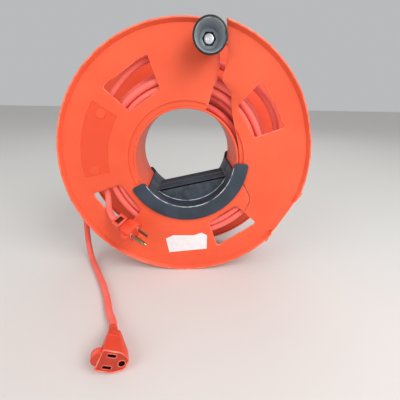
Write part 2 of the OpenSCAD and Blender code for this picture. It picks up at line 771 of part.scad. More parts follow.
module cord_outer_turns() {
    color("salmon") at_reel() wound(outer_end_bearing - 360 * outer_turns, outer_end_bearing, false);
}

module tail_cord() {
    color("salmon") at_reel() tube(tail_route, [0.87, 0.5, 0]);
}

module plug_lead() {
    color("salmon") at_reel() tube(lead_route, [0.5, 0.87, 0]);
}

module placed(at, turn) {
    at_reel() translate(at) rotate([0, turn[0], turn[1]]) rotate([0, 0, turn[2]]) children();
}

// A round body with two flatter sides, out to the face at z = 0
module flat_round(d, flat, len) {
    offcentre = side_r - flat / 2;
    translate([0, body_shift, -len]) linear_extrude(len) intersection() {
        circle(d = d);
        translate([offcentre, 0]) circle(side_r);
        translate([-offcentre, 0]) circle(side_r);
    }
}

module relief(from, len) {
    translate([0, body_shift, -from - len]) cylinder(d1 = relief_tip_d, d2 = relief_d, h = len);
}

module blades(grow) {
    for (x = [-blade_gap / 2, blade_gap / 2])
        translate([x - blade_t / 2, -blade_w / 2, -root_len]) cube([blade_t, blade_w, root_len + grow]);
}

module plug_body() {
    color("tomato") placed(plug_at, plug_turn) difference() {
        union() {
            flat_round(plug_d, plug_flat, plug_len);
            for (x = [-ear_at, ear_at])
                translate([x, body_shift + ear_d / 2, -ear_d / 2 - 1]) rotate([90, 0, 0])
                    cylinder(d = ear_d, h = ear_d);
        }
        blades(1);
        translate([0, ground_dist, -root_len]) cylinder(d = pin_d, h = root_len + 1);
    }
}

module plug_strain_relief() {
    color("tomato") placed(plug_at, plug_turn) relief(plug_len, plug_relief_len);
}

module plug_blades() {
    color("gold") placed(plug_at, plug_turn) blades(blade_len);
}

module plug_ground_pin() {
    color("gold") placed(plug_at, plug_turn) translate([0, ground_dist, -root_len]) {
        cylinder(d = pin_d, h = root_len + pin_len - pin_d / 2);
        translate([0, 0, root_len + pin_len - pin_d / 2]) cylinder(d1 = pin_d, d2 = pin_d / 2, h = pin_d / 2);
    }
}

module receptacle_body() {
    sleeve_d = ground_hole_d + 2 * sleeve_t;
    color("orangered") placed(socket_at, socket_turn) difference() {
        union() {
            flat_round(socket_d, socket_flat, socket_front_len);
            translate([0, body_shift, -socket_len])
                cylinder(d1 = relief_d + 2, d2 = socket_flat - 1, h = socket_len - socket_front_len + eps);
            translate([0, body_shift - lobe_at, -lobe_t]) cylinder(d = grip_lobe_d, h = lobe_t);
        }
        for (x = [-blade_gap / 2, blade_gap / 2]) {
            translate([x - slot_t / 2, -slot_h / 2, -face_t - 1]) cube([slot_t, slot_h, face_t + 2]);
            translate([x - chamber_t / 2, -slot_h / 2, -chamber_depth])
                cube([chamber_t, slot_h, chamber_depth - face_t]);
        }
        translate([0, ground_dist, -face_t - 1]) cylinder(d = ground_hole_d, h = face_t + 2);
        translate([0, ground_dist, -chamber_depth]) cylinder(d = sleeve_d, h = chamber_depth - face_t);
    }
}

module receptacle_strain_relief() {
    color("orangered") placed(socket_at, socket_turn) relief(socket_len, socket_relief_len);
}

module receptacle_contacts() {
    color("gold") placed(socket_at, socket_turn) for (s = [-1, 1])
        translate([s * (blade_gap / 2 + chamber_t / 2 - leaf_t / 2), 0, -face_t - chamber_len / 2])
            cube([leaf_t, slot_h, chamber_len], center = true);
}

module receptacle_ground_contact() {
    color("gold") placed(socket_at, socket_turn) translate([0, ground_dist, -face_t - chamber_len])
        difference() {
            cylinder(d = ground_hole_d + 2 * sleeve_t, h = chamber_len);
            translate([0, 0, -1]) cylinder(d = ground_hole_d, h = chamber_len + 2);
        }
}

front_flange();
rear_flange();
hub_tube();
handle_front();
handle_rear();
handle_screws();
spin_knob();
knob_bolt();
knob_washer();
knob_back_washer();
knob_nut();
paper_tape();
cord_core();
cord_front_turns();
cord_outer_turns();
tail_cord();
plug_lead();
plug_body();
plug_strain_relief();
plug_blades();
plug_ground_pin();
receptacle_body();
receptacle_strain_relief();
receptacle_contacts();
receptacle_ground_contact();
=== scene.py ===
"""An extension cord reel: moulded orange flanges on a hollow hub, a black handle, a crank knob and a
wound cord.

Places are worked out in millimetres in the reel's own frame, x to the right, y to the back and z up,
with the origin on the reel's axis at the front rim plane. Bearings are counted from +x towards +z.
"""

import math

import bmesh
import bpy
import numpy as np
from bpy.props import FloatProperty, FloatVectorProperty, IntProperty, PointerProperty
from bpy.types import Operator, Panel, PropertyGroup
from mathutils import Matrix, Vector
from mathutils.geometry import delaunay_2d_cdt


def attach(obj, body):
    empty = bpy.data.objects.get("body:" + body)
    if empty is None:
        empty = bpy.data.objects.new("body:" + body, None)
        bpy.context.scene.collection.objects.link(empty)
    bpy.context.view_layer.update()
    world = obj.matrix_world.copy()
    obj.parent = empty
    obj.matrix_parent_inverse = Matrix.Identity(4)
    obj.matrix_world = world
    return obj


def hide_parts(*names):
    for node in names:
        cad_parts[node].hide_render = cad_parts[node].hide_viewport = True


bl_info = {
    "name": "Extension Cord Reel",
    "version": (1, 0, 0),
    "blender": (4, 5, 0),
    "location": "3D View > Sidebar > Cord Reel",
    "description": "Builds a moulded cord reel with its wound cord, handle and crank knob",
    "category": "Object",
}

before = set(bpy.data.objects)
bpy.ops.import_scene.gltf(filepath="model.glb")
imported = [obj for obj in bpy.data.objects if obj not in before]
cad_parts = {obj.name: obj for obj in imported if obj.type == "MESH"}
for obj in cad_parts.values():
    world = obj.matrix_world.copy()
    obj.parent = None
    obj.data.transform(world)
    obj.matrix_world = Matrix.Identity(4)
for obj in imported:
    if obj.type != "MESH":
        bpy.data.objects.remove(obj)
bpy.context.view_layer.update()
MM = 0.001
SHARP_ANGLE = math.radians(38)
MERGE_WITHIN, SLIVER = 2e-6, 1e-7   # metres
BACK = (0, 1, 0)

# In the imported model's frame: the camera in millimetres and radians, and the lamps in metres and watts
EYE, PITCH, YAW, ROLL = (1.39, -395.37, 245.82), 0.3544, 0.0482, 0.0194
SENSOR, LENS = 36.0, 25.152
REEL_MIDDLE = (0, 0, 0.16)
LAMPS = {  # place, target, size and power
    "key": ((0.75, -0.85, 1.15), REEL_MIDDLE, 0.9, 11.5),
    "sheen": ((0.5, -1.0, 0.62), (0.06, 0, 0.2), 0.5, 2.8),
    "fill": ((-1.1, -0.9, 0.9), REEL_MIDDLE, 1.3, 7.0),
    "back": ((0.3, 1.3, 1.3), REEL_MIDDLE, 1.2, 4.0),
}
WORLD_COLOUR, WORLD_STRENGTH, FLOOR_HALF = "#F2F3F5", 0.55, 6

# The flanges and the hub, in millimetres and degrees
FRONT_Y, REEL_R, REEL_W = -35.0, 165.0, 100.0
FACE_Y, PLATE_BACK, RIM_BACK, RIM_T = 4.0, 7.0, 9.0, 2.4
RIM_PROFILE = [[159.5, 4.0], [159.8, 3.1], [162.5, 1.1], [162.9, 0.2], [163.5, 0.05], [164.2, 0.05],
               [164.75, 0.3], [165.0, 0.9]]
RIM_STEP, LIP_R = (162.5, 162.9), 163.8
STEP = 0.3                          # width of a small step's slope
MID_BEND = 0.3                      # the middle line of an edge's bend, as a share of it
HUB_BORE_R, HUB_R, HUB_SEAT_R, HUB_END, HUB_EDGE = 66.5, 69.5, 69.6, 5.0, 0.8
GROOVE_R, GROOVE_Y, COLLAR_R, SPIGOT_Y, COLLAR_T = 76.0, 2.0, 79.0, 10.0, 2.5
WINDOW_IN, WINDOW_OUT, WINDOW_HALF, WINDOW_CORNER = 91.0, 131.0, 14.3, 5.0
WINDOW_BEARINGS = (34.2, 124.2, 214.2, 304.2)
FOOT_BEARING, FOOT_DIST, FOOT_HALF, FOOT_Y, TOE_LEN, TOE_H = -30.0, 160.0, 43.3, 0.3, 15.0, 1.0
PANEL_FROM, PANEL_TO, PANEL_IN, PANEL_OUT, PANEL_DEPTH = 147.0, 189.5, 102.0, 136.5, 0.5
BUTTON_BEARINGS, BUTTON_DIST, BUTTON_R, BUTTON_H = (150.8, 186.2), 121.2, 6.5, 0.8
# The last of these is the strength of a pale line on the rim's lip: rubbed wear and a painted highlight
PANEL_CORNER, PANEL_SLOPE, BUTTON_SLOPE, FLANGE_SPACING, LIP_HALF, LIP_WEAR_AND_HIGHLIGHT = 0.8, 0.5, 0.4, 7.5, 1.0, 0.4
BOLT_BOSS = [[0, 6.5], [9, 6.5], [9, 8.2], [8.6, 8.6], [0, 8.6]]
# The slot's edges and the slit, as [distance out from the hub's seat, bearing]
SLOT_LEFT = [[64.4, 72.9], [52.9, 71.2], [36.9, 69.9], [28.3, 70.5], [11.5, 69.6]]
SLOT_RIGHT = [[2.4, 20.3], [4.6, 30.4], [11.7, 43.8], [20.9, 52.3], [29.4, 56.4], [32.9, 59.2],
              [38.4, 67.4], [59.1, 68.8], [66.6, 70]]
SLOT_MIDDLE = [[64.4, 71.4], [52.4, 69.8], [38.4, 68.7], [30.4, 64], [10.4, 58]]
SLIT_ROUTE = [[-1, -17.6], [12.8, -21.6], [18.6, -23.8], [25, -26.6], [31, -29.3], [35.2, -32],
              [37, -35], [38.7, -38.6], [39.7, -40.6]]
SLOT_MOUTH, SLOT_HUB, SLIT_FROM, FLAP_GAP, SLIT_W = (77.9, 75.5), (8.0, 69.5), -18.0, 1.1, 1.0
MOUTH_R = REEL_R + 4
FLAP_AXIS, FLAP_FROM, FLAP_FLAT, FLAP_EASE = 17.0, 14.0, 84.0, 24.0

# The handle
HANDLE_BEARING, HANDLE_R, LINER_R, ARC_R, ARC_Y, ARC_BACK = -77.3, 66.2, 63.0, 83.0, 0.5, 3.7
ARC_HALF, ARC_CORNER, ARC_CUT, WEB_Y, WALL, GRIP_DIST, HALF_W = 75.6, 4.5, 67.6, 25.0, 3.2, 36.5, 50.0
SCREW_BEARINGS, SCREW_DIST, SCREW_BOSS_R = (-25, 0, 25), 53.0, 4.5
BEAD_R, RIB_R, RIB_STEP = 0.55, 0.9, 5.0

# The knob and its bolt, as [radius, depth] from the hole through the front lip to the cup's floor
KNOB_ARM, KNOB_BEARING = 143.0, 80.0
KNOB_BASE = [[3.08, 2.5], [12.4, 2.5], [13, 1.9]]
KNOB_SIDE = [[13, 1.9], [13.6, -5.6], [15.6, -15.4], [17.8, -24.2], [18.7, -28.3], [18.5, -29.5],
             [18.0, -29.9], [17.0, -30]]
KNOB_CUP = [[17.0, -30], [16.4, -29.6], [16.1, -28.6], [15.4, -25], [11.6, -11.2], [10.8, -10.3]]
WELL_R, WELL_DEPTHS, WELL_TOP, KNOB_LIP, LIP_BAND = 6.6, (-10.0, -9.7, -7.0, -7.0), -9.8, -28.6, 1.1
BOLT_PROFILE = [[0, -9.0], [1.2, -9.4], [2.4, -9.2], [3.0, -9.2], [3.4, -10.6], [4.9, -10.7],
                [5.4, -10.4], [5.5, -9.8], [5.5, -7.3], [3, -7.3], [3, 14.8], [2.4, 15.3], [0, 15.3]]

# The winding: its planes and radii, and the loose front turn as [bearing, radius] and [bearing, depth]
FRONT_PLANE, REAR_PLANE, TURN_STEP, LAYER_R = 12.05, 87.95, 9.4, 109.0
FRONT_IN_R, OUTER_IN_R, OUTER_END_Y, OUTER_END_BEARING = 84.4, 86.76, 25.0, 150.0
INNER_LOW, INNER_HIGH, INNER_R, INNER_TURN, LAYER_STEP, LAYERS = 21.1, 78.9, 74.2, 8.6, 8.55, 4
LOOSE_FROM, LOOSE_TO = 321.0, 555.0
LOOSE_R = [[321, 109], [350, 116], [370, 124.5], [392, 131], [410, 127.5], [429, 123], [448, 127],
           [472, 133], [499, 123.3], [525, 118.5], [555, 117.7]]
LOOSE_Y = [[321, 12.05], [350, 15], [370, 19], [395, 22.5], [460, 22.5], [485, 18], [510, 15],
           [555, 15]]

# The free cords with their plug and receptacle: places, and turns as pitch, yaw and roll
TAIL_ROUTE = [[-115, 25.5, 18], [-129, 28, -7], [-142, 34, -36], [-151, 40, -68], [-155.5, 44, -100],
              [-156, 42, -126], [-152.5, 34, -147], [-145, 20, -158.4], [-134, 0, -160.5],
              [-122, -22, -160.5], [-110, -45, -160.5], [-99, -70, -160.5], [-90, -94, -159.5]]
LEAD_PULLS = (62, 72)
PLUG_AT, PLUG_TURN = (-68.0, -28.0, -88.0), (110.7, -31.3, -65.9)
SOCKET_AT, SOCKET_TURN = (-70.0, -168.0, -149.8), (84.0, -75.5, -26.3)
BODY_SHIFT, PLUG_LEN, PLUG_RELIEF, SOCKET_LEN, SOCKET_RELIEF = 3.5, 22.0, 10.0, 34.0, 16.0
BLADE_X, GROUND_DIST, GROUND_R = (-6.35, 6.35), 11.9, 2.9
# Rings of their bodies: place in front of the face, half thickness, ear side, ground side, crease, and
# for round ones the share of the circle and its radius
PLUG_RINGS = [
    [0.0, 9.6, -11.2, 13.6, 3.0], [-0.5, 10.8, -12.2, 14.6, 3.0], [-1.4, 11.3, -12.6, 15.0, 3.0],
    [-9.0, 11.3, -12.6, 15.0, 3.0], [-14.0, 10.2, -11.2, 13.0, 3.0], [-17.0, 8.6, -9.0, 10.8, 3.0],
    [-19.4, 7.6, -6.6, 9.0, 3.0], [-20.0, 8.8, -5.2, 8.6, 3.0], [-31.3, 8.6, -5.2, 8.0, 3.0],
    [-32.0, 7.8, -4.6, 7.2, 2.8]]
SOCKET_FRONT = [
    [-9.0, 10.1, -12.4, 12.8, 3.6], [-0.7, 10.1, -12.4, 12.8, 3.6], [-0.1, 10.5, -12.8, 13.2, 3.7],
    [0.0, 11.0, -13.3, 13.7, 3.8], [-0.5, 11.5, -13.8, 14.2, 3.9], [-1.5, 11.45, -13.6, 14.2, 3.9],
    [-12.0, 10.8, -11.6, 13.9, 3.9]]
SOCKET_EDGE = (-0.1, 0.0, -0.5)
SOCKET_TAPER = (-14, -22.6, -22.9, -24.0, -24.3, -35.2)
SOCKET_REAR = [
    [-37.0, 8.0, -6.2, 7.2, 3.2, 0.25, 6], [-38.2, 6.6, -5.6, 6.4, 2.8, 0.7, 5.8],
    [-39.0, 6, -5, 6, 3, 1, 5.5], [-44.0, 6, -5, 6, 3, 1, 5.2], [-49.5, 6, -5, 6, 3, 1, 4.8],
    [-50.0, 6, -5, 6, 3, 1, 4.4]]
# The plug's finger lobes, its rear block with the pocket, and the collars round its blades
LOBE_X, LOBE_R, LOBE_HALF, LOBE_DROP, LOBE_Z = (-12.3, 12.3), 5.2, 4.5, 3.5, -5.0
BLOCK, BLOCK_CORNER, BLOCK_DEPTHS, VINYL_EDGE = (-9, 9, -31.8, -19.8), 1.6, (-6.2, -1.4), 0.8
POCKET, POCKET_DEPTHS, POCKET_TOP, POCKET_MARGIN = (-5.6, 5.6, -29.8, -22.2), (-2.2, -1.2), -4, 0.2
BLADE_COLLAR_HALF, BLADE_COLLAR_LONG, BLADE_COLLAR_CORNER, BLADE_COLLAR_OUT = 1.8, 4.2, 0.9, -0.7
# The receptacle's notch, the holes of its sunk face with their raised rims, and its finger lobe
NOTCH_DEPTH, NOTCH_FROM, NOTCH_TO, NOTCH_X, NOTCH_SIDE = 0.9, -24.1, -22.8, -8.5, 3
HOLE_HALF, HOLE_LONG, HOLE_CORNER, HOLE_DEPTH, HOLE_BEND = 1.3, 3.9, 0.4, 8.5, 1.35
FACE_SUNK, HOLE_RIM_H, HOLE_RIM_FLAT, HOLE_RIM_END = 0.9, 0.6, 1.0, 1.3
EAR_R, EAR_LONG, EAR_EDGE, EAR_X, EAR_DROP, EAR_Z = 7.3, 8, 0.9, 0.5, 13.4, -1.1

# The tape's torn outline, in x and z, its height off the face, its thickness, and its curl and waves
TAPE = [[-29.6, -113.8], [-18.6, -108.8], [11.2, -108.9], [22.1, -104.9], [30.2, -109], [30.2, -131.1],
        [-25.1, -136.8]]
TAPE_LIFT, TAPE_T, TAPE_HALF, CURL_FROM = 0.2, 0.16, 30, 0.75
WAVE, WAVE_X, WAVE_Z = 0.05, 3.1, 7


# ---------------------------------------------------------------- numbers and lines

def linear(text):
    """A hex colour as linear red, green and blue: c / 12.92 up to 0.04045, else
    ((c + 0.055) / 1.055)^2.4."""
    srgb = np.array([int(text[k:k + 2], 16) for k in (1, 3, 5)]) / 255
    return tuple(np.where(srgb <= 0.04045, srgb / 12.92, ((srgb + 0.055) / 1.055) ** 2.4))


def unit(v):
    """Vectors along the last axis, each divided by its length."""
    return v / np.linalg.norm(v, axis=-1, keepdims=True)


def ramp(value, start, end):
    """0 before start, 1 after end, straight in between."""
    return np.clip((value - start) / (end - start), 0, 1)


def around(radius, bearing, y):
    """Points at a radius and a bearing in degrees, y deep: (r cos b, y, r sin b)."""
    b = np.radians(bearing)
    return np.stack(np.broadcast_arrays(radius * np.cos(b), y, radius * np.sin(b)), -1)


def flat(radius, bearing):
    """The same in the plane of a flange: (r cos b, r sin b)."""
    return around(radius, bearing, 0.0)[..., [0, 2]]


def turned(points, bearing):
    """Flat points turned by a bearing: (x cos b - z sin b, x sin b + z cos b)."""
    b = math.radians(bearing)
    return points @ np.array([[math.cos(b), math.sin(b)], [-math.sin(b), math.cos(b)]])


def turn_matrix(turn):
    """Rotation by roll about z, then pitch about y, then yaw about z."""
    pitch, yaw, roll = (math.radians(a) for a in turn)
    return np.array(Matrix.Rotation(yaw, 3, "Z") @ Matrix.Rotation(pitch, 3, "Y")
                    @ Matrix.Rotation(roll, 3, "Z"))


def placed(points, at, turn):
    """Points of a plug or receptacle, turned and moved to their place on the cord."""
    return points @ turn_matrix(turn).T + np.array(at)


def in_row(points):
    """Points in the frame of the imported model, in metres."""
    return ((points + [0, FRONT_Y, REEL_R]) * MM).tolist()


def smooth(points, n):
    """Catmull-Rom curve through points a, b, c, d..., with n steps between neighbours: half of
    2b + (c - a) t + (2a - 5b + 4c - d) t^2 + (3b - a - 3c + d) t^3."""
    p = np.asarray(points, float)
    p = np.vstack([2 * p[0] - p[1], p, 2 * p[-1] - p[-2]])
    a, b, c, d = (p[k:len(p) - 3 + k, None] for k in range(4))
    t = (np.arange(n) / n)[None, :, None]
    curve = 0.5 * (2 * b + (c - a) * t + (2 * a - 5 * b + 4 * c - d) * t**2
                   + (3 * b - a - 3 * c + d) * t**3)
    return np.vstack([curve.reshape(-1, p.shape[1]), p[-2]])


def sweep(start, start_pull, end, end_pull, n):
    """A bend between two points: the cubic (2t^3 - 3t^2 + 1) start + (t^3 - 2t^2 + t) its pull
    + (3t^2 - 2t^3) end + (t^3 - t^2) its pull."""
    t = np.linspace(0, 1, n)[:, None]
    return ((2 * t**3 - 3 * t**2 + 1) * start + (t**3 - 2 * t**2 + t) * start_pull
            + (3 * t**2 - 2 * t**3) * end + (t**3 - t**2) * end_pull)


# ---------------------------------------------------------------- closed outlines

def circle(radius, n=300):
    """A circle of n points."""
    return flat(radius, np.arange(n) * 360 / n)


def rectangle(left, right, low, high):
    """A rectangle between two sides and two heights."""
    return np.array([[left, low], [right, low], [right, high], [left, high]], float)


def rounded(outline, radius, n=5):
    """An outline whose corners are bends: each is the curve (1-t)^2 a + 2t(1-t) p + t^2 b,
    from a, one radius before the corner p, to b, one radius after it."""
    p = np.asarray(outline, float)
    radius = np.broadcast_to(np.asarray(radius, float), len(p))[:, None]
    a = (p + radius * unit(np.roll(p, 1, 0) - p))[:, None]
    b = (p + radius * unit(np.roll(p, -1, 0) - p))[:, None]
    t = np.linspace(0, 1, n)[None, :, None]
    return ((1 - t)**2 * a + 2 * t * (1 - t) * p[:, None] + t**2 * b).reshape(-1, p.shape[1])


def dense(outline, step):
    """An outline with points added, so that no side is longer than the step."""
    p = np.asarray(outline, float)
    q = np.roll(p, -1, 0)
    n = np.maximum(1, np.ceil(np.linalg.norm(q - p, axis=1) / step)).astype(int)
    index = np.repeat(np.arange(len(p)), n)
    share = (np.arange(len(index)) - np.repeat(np.cumsum(n) - n, n)) / n[index]
    return p[index] + share[:, None] * (q - p)[index]


def offset(outline, distance):
    """An outline moved outwards by a distance along the mean normal of its two sides."""
    p = np.asarray(outline, float)
    side = unit(np.roll(p, -1, 0) - p)
    area = np.sum(p[:, 0] * np.roll(p[:, 1], -1) - p[:, 1] * np.roll(p[:, 0], -1))
    normal = np.stack([side[:, 1], -side[:, 0]], 1) * np.sign(area)
    return p + distance * unit(normal + np.roll(normal, 1, 0))


def within(points, outline):
    """Which points lie in an outline, by counting the sides that a ray to the right crosses."""
    a, b = outline, np.roll(outline, -1, 0)
    x, z = points[:, :1], points[:, 1:]
    crosses = (a[:, 1] > z) != (b[:, 1] > z)
    rise = np.where(b[:, 1] == a[:, 1], 1e-12, b[:, 1] - a[:, 1])
    at = a[:, 0] + (z - a[:, 1]) / rise * (b[:, 0] - a[:, 0])
    return np.sum(crosses & (x < at), 1) % 2 == 1


def within_any(points, outlines):
    """Which points lie in one or more of the outlines."""
    return np.any([within(points, o) for o in outlines], 0)


def distance_to(points, a, b):
    """Least distance from each point to the segments from a to b, worked out in blocks of points."""
    d = b - a
    size = np.maximum(np.sum(d * d, 1), 1e-12)

    def block(p):
        """The distance |p - a - t d|, with t = (p - a) d / (d d) held between 0 and 1."""
        t = np.clip(((p[:, None] - a) * d).sum(2) / size, 0, 1)
        return np.linalg.norm(p[:, None] - a - t[..., None] * d, axis=2).min(1)

    return np.concatenate([block(points[k:k + 400]) for k in range(0, len(points), 400)])


def depth_in(points, outline):
    """How far inside an outline each point lies. It is negative outside."""
    d = distance_to(points, outline, np.roll(outline, -1, 0))
    return np.where(within(points, outline), d, -d)


# ---------------------------------------------------------------- surfaces

def grid(points, wrap=False):
    """A surface of two parameters: points[u, v] joined to squares. It closes round v, and round u if it
    wraps."""
    nu, nv = points.shape[:2]
    u, v = np.meshgrid(np.arange(nu if wrap else nu - 1), np.arange(nv), indexing="ij")
    u1, v1 = (u + 1) % nu, (v + 1) % nv
    faces = np.stack([u * nv + v, u1 * nv + v, u1 * nv + v1, u * nv + v1], -1).reshape(-1, 4)
    return points.reshape(-1, 3), faces.tolist()


def join(*shells):
    """Several shells as one list of points and one of faces."""
    starts = np.cumsum([0] + [len(p) for p, _ in shells])
    faces = [[k + s for k in f] for s, (_, fs) in zip(starts, shells) for f in fs]
    return np.vstack([p for p, _ in shells]), faces


def gather(parts, *keys):
    """Several shells as one, with attributes that are one number for a shell or one for each point."""
    values = {key: np.concatenate([np.broadcast_to(own.get(key, 0.0), len(shell[0]))
                                   for shell, own in parts]) for key in keys}
    return join(*[shell[:2] for shell, _ in parts]), values


def closed(rings, wrap=False):
    """A grid of rings, shut at both ends by the middle of each end ring unless it wraps."""
    if wrap:
        return grid(rings, True)
    caps = [end.mean(1, keepdims=True).repeat(rings.shape[1], 1) for end in (rings[:1], rings[-1:])]
    return grid(np.concatenate([caps[0], rings, caps[1]]))


def lathe(profile, sides=72, wrap=False):
    """A profile of [radius, y], carried round the y axis. A closed profile wraps on itself."""
    r, y = np.asarray(profile, float).T[:, :, None]
    return closed(around(r, np.arange(sides)[None] * 360 / sides, y), wrap)


def tube(line, radius, side, sides=14):
    """A closed round tube: rings c + r (cos w u + sin w v) along a line, where u is the side made square
    to the line's heading, and v is square to both."""
    heading = unit(np.gradient(line, axis=0))
    side = np.broadcast_to(np.asarray(side, float), line.shape)
    u = unit(side - np.sum(side * heading, -1, keepdims=True) * heading)
    v = np.cross(heading, u)
    w = (np.arange(sides) * 2 * math.pi / sides)[:, None]
    return closed(line[:, None] + radius * (np.cos(w) * u[:, None] + np.sin(w) * v[:, None]))


def triangulate(outlines, inside, spacing):
    """Even triangles over a flat region. The outlines' sides stay as edges, and a grid of points fills
    it: every other row is moved by half the spacing."""
    points = np.vstack(outlines)
    starts = np.cumsum([0] + [len(o) for o in outlines])
    edges = np.vstack([np.stack([s + np.arange(len(o)), s + (np.arange(len(o)) + 1) % len(o)], 1)
                       for s, o in zip(starts, outlines)])
    low, high = points.min(0), points.max(0)
    row_step = spacing * 0.866      # rows of equal triangles lie sin 60 apart
    x, z = np.meshgrid(np.arange(low[0], high[0], spacing), np.arange(low[1], high[1], row_step))
    x[1::2] += spacing / 2
    fill = np.stack([x.ravel(), z.ravel()], 1)
    fill = fill[inside(fill)]
    fill = fill[distance_to(fill, points[edges[:, 0]], points[edges[:, 1]]) > spacing * 0.4]
    corners = [Vector(p) for p in np.vstack([points, fill])]
    made = delaunay_2d_cdt(corners, edges.tolist(), [], 0, 1e-4, False)
    points, triangles = np.array([tuple(p) for p in made[0]]), np.array(made[2])
    return points, triangles[inside(points[triangles].mean(1))]


def plate(outlines, inside, front, back, spacing, bend, keep_sharp=None):
    """A moulded plate: a flat region between two depths, with a wall round its edge. The region is an
    outline or a test of points, and a depth is a number or worked out from the points. Within one bend of
    the edge the depths close in on a quarter circle, by bend (1 - sqrt(1 - s^2)), with s from 0 to 1.
    Returns points as (x, depth, z), faces, and s."""
    keep = inside if callable(inside) else lambda p: within(p, inside)
    points, triangles = triangulate(outlines, keep, spacing)
    sides = np.vstack([triangles[:, [0, 1]], triangles[:, [1, 2]], triangles[:, [2, 0]]])
    n = len(points)
    rim = sides[~np.isin(sides[:, 0] * n + sides[:, 1], sides[:, 1] * n + sides[:, 0])]
    soft = rim if keep_sharp is None else rim[~keep_sharp(points[rim].mean(1))]
    share = np.clip(1 - distance_to(points, points[soft[:, 0]], points[soft[:, 1]]) / bend, 0, 1)
    drop = bend * (1 - np.sqrt(1 - share**2))
    start, end = (depth(points) if callable(depth) else depth for depth in (front, back))
    top = np.stack([points[:, 0], start + drop, points[:, 1]], 1)
    bottom = np.stack([points[:, 0], end - drop, points[:, 1]], 1)
    walls = np.stack([rim[:, 1], rim[:, 0], rim[:, 0] + n, rim[:, 1] + n], 1)
    faces = triangles.tolist() + (triangles[:, ::-1] + n).tolist() + walls.tolist()
    return np.vstack([top, bottom]), faces, np.tile(share, 2)


def rings_of(outline, bend, step=4.0, outwards=True):
    """An outline and the two lines beside it that carry the bend of a plate's edge."""
    outline = dense(outline, step)
    sign = 1 if outwards else -1
    return [outline, offset(outline, sign * MID_BEND * bend), offset(outline, sign * bend)]


# ---------------------------------------------------------------- pieces

def piece(name, shell, material, body="reel", slot=None, stands_for=(), **attributes):
    """Puts a shell into a mesh object in metres, which rides on a body and stands for CAD nodes."""
    mesh = bpy.data.meshes.new(name)
    mesh.from_pydata(in_row(shell[0]), [], shell[1])
    for key, values in attributes.items():
        layer = mesh.attributes.new(key, "FLOAT", "POINT")
        layer.data.foreach_set("value", np.asarray(values, np.float32))
    work = bmesh.new()
    work.from_mesh(mesh)
    bmesh.ops.remove_doubles(work, verts=work.verts, dist=MERGE_WITHIN)
    bmesh.ops.dissolve_degenerate(work, edges=work.edges, dist=SLIVER)
    bmesh.ops.recalc_face_normals(work, faces=work.faces)
    work.to_mesh(mesh)
    work.free()
    mesh.shade_smooth()
    mesh.set_sharp_from_angle(angle=SHARP_ANGLE)
    mesh.materials.append(material)
    made = bpy.data.objects.new(name, mesh)
    bpy.context.scene.collection.objects.link(made)
    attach(made, body)
    if stands_for:
        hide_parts(*stands_for)
    return made


def cord_piece(name, line, side, node, sides=14):
    """A length of jacketed cord along a line, which stands for one CAD node."""
    radius = bpy.context.scene.cord_reel_sizes.cord_d / MM / 2
    return piece(name, tube(line, radius, side, sides), paint("jacket"), "reel", "cord_jacket", (node,))


def dress(material, *nodes):
    """Gives the meshes of CAD nodes a material."""
    for node in nodes:
        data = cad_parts[node].data
        data.materials.clear()
        data.materials.append(material)


# ---------------------------------------------------------------- materials

POLYMER_IOR = 1.49
NOISE_LOW, NOISE_HIGH = 0.3, 0.7    # nearly all of a noise texture's values lie between these
MIX_A, MIX_B, MIX_RESULT = 6, 7, 2  # a Mix node's colour sockets
MADE = {}


def add(tree, kind, inputs=None, **settings):
    """Adds one shader node. Settings are its properties, and inputs are its sockets' values or links."""
    made = tree.nodes.new("ShaderNode" + kind)
    for key, value in settings.items():
        setattr(made, key, value)
    for key, value in (inputs or {}).items():
        if isinstance(value, bpy.types.NodeSocket):
            tree.links.new(value, made.inputs[key])
        else:
            made.inputs[key].default_value = value
    return made


def noise(tree, place, size, **inputs):
    """A noise texture with features of that many millimetres. Its scale is one over their size in
    metres."""
    inputs = {key.title(): value for key, value in inputs.items()}
    return add(tree, "TexNoise", {"Vector": place, "Scale": 1 / (size * MM), **inputs}).outputs["Fac"]


def blend(tree, factor, base, top):
    """One colour over another: (1 - f) base + f top."""
    mixed = add(tree, "Mix", {"Factor": factor, MIX_A: base, MIX_B: top}, data_type="RGBA")
    return mixed.outputs[MIX_RESULT]


def start_material(name):
    """A new material: its node tree, its shader and its object coordinates."""
    material = bpy.data.materials.new(name)
    material.use_nodes = True
    tree = material.node_tree
    return material, tree, tree.nodes["Principled BSDF"], add(tree, "TexCoord").outputs["Object"]


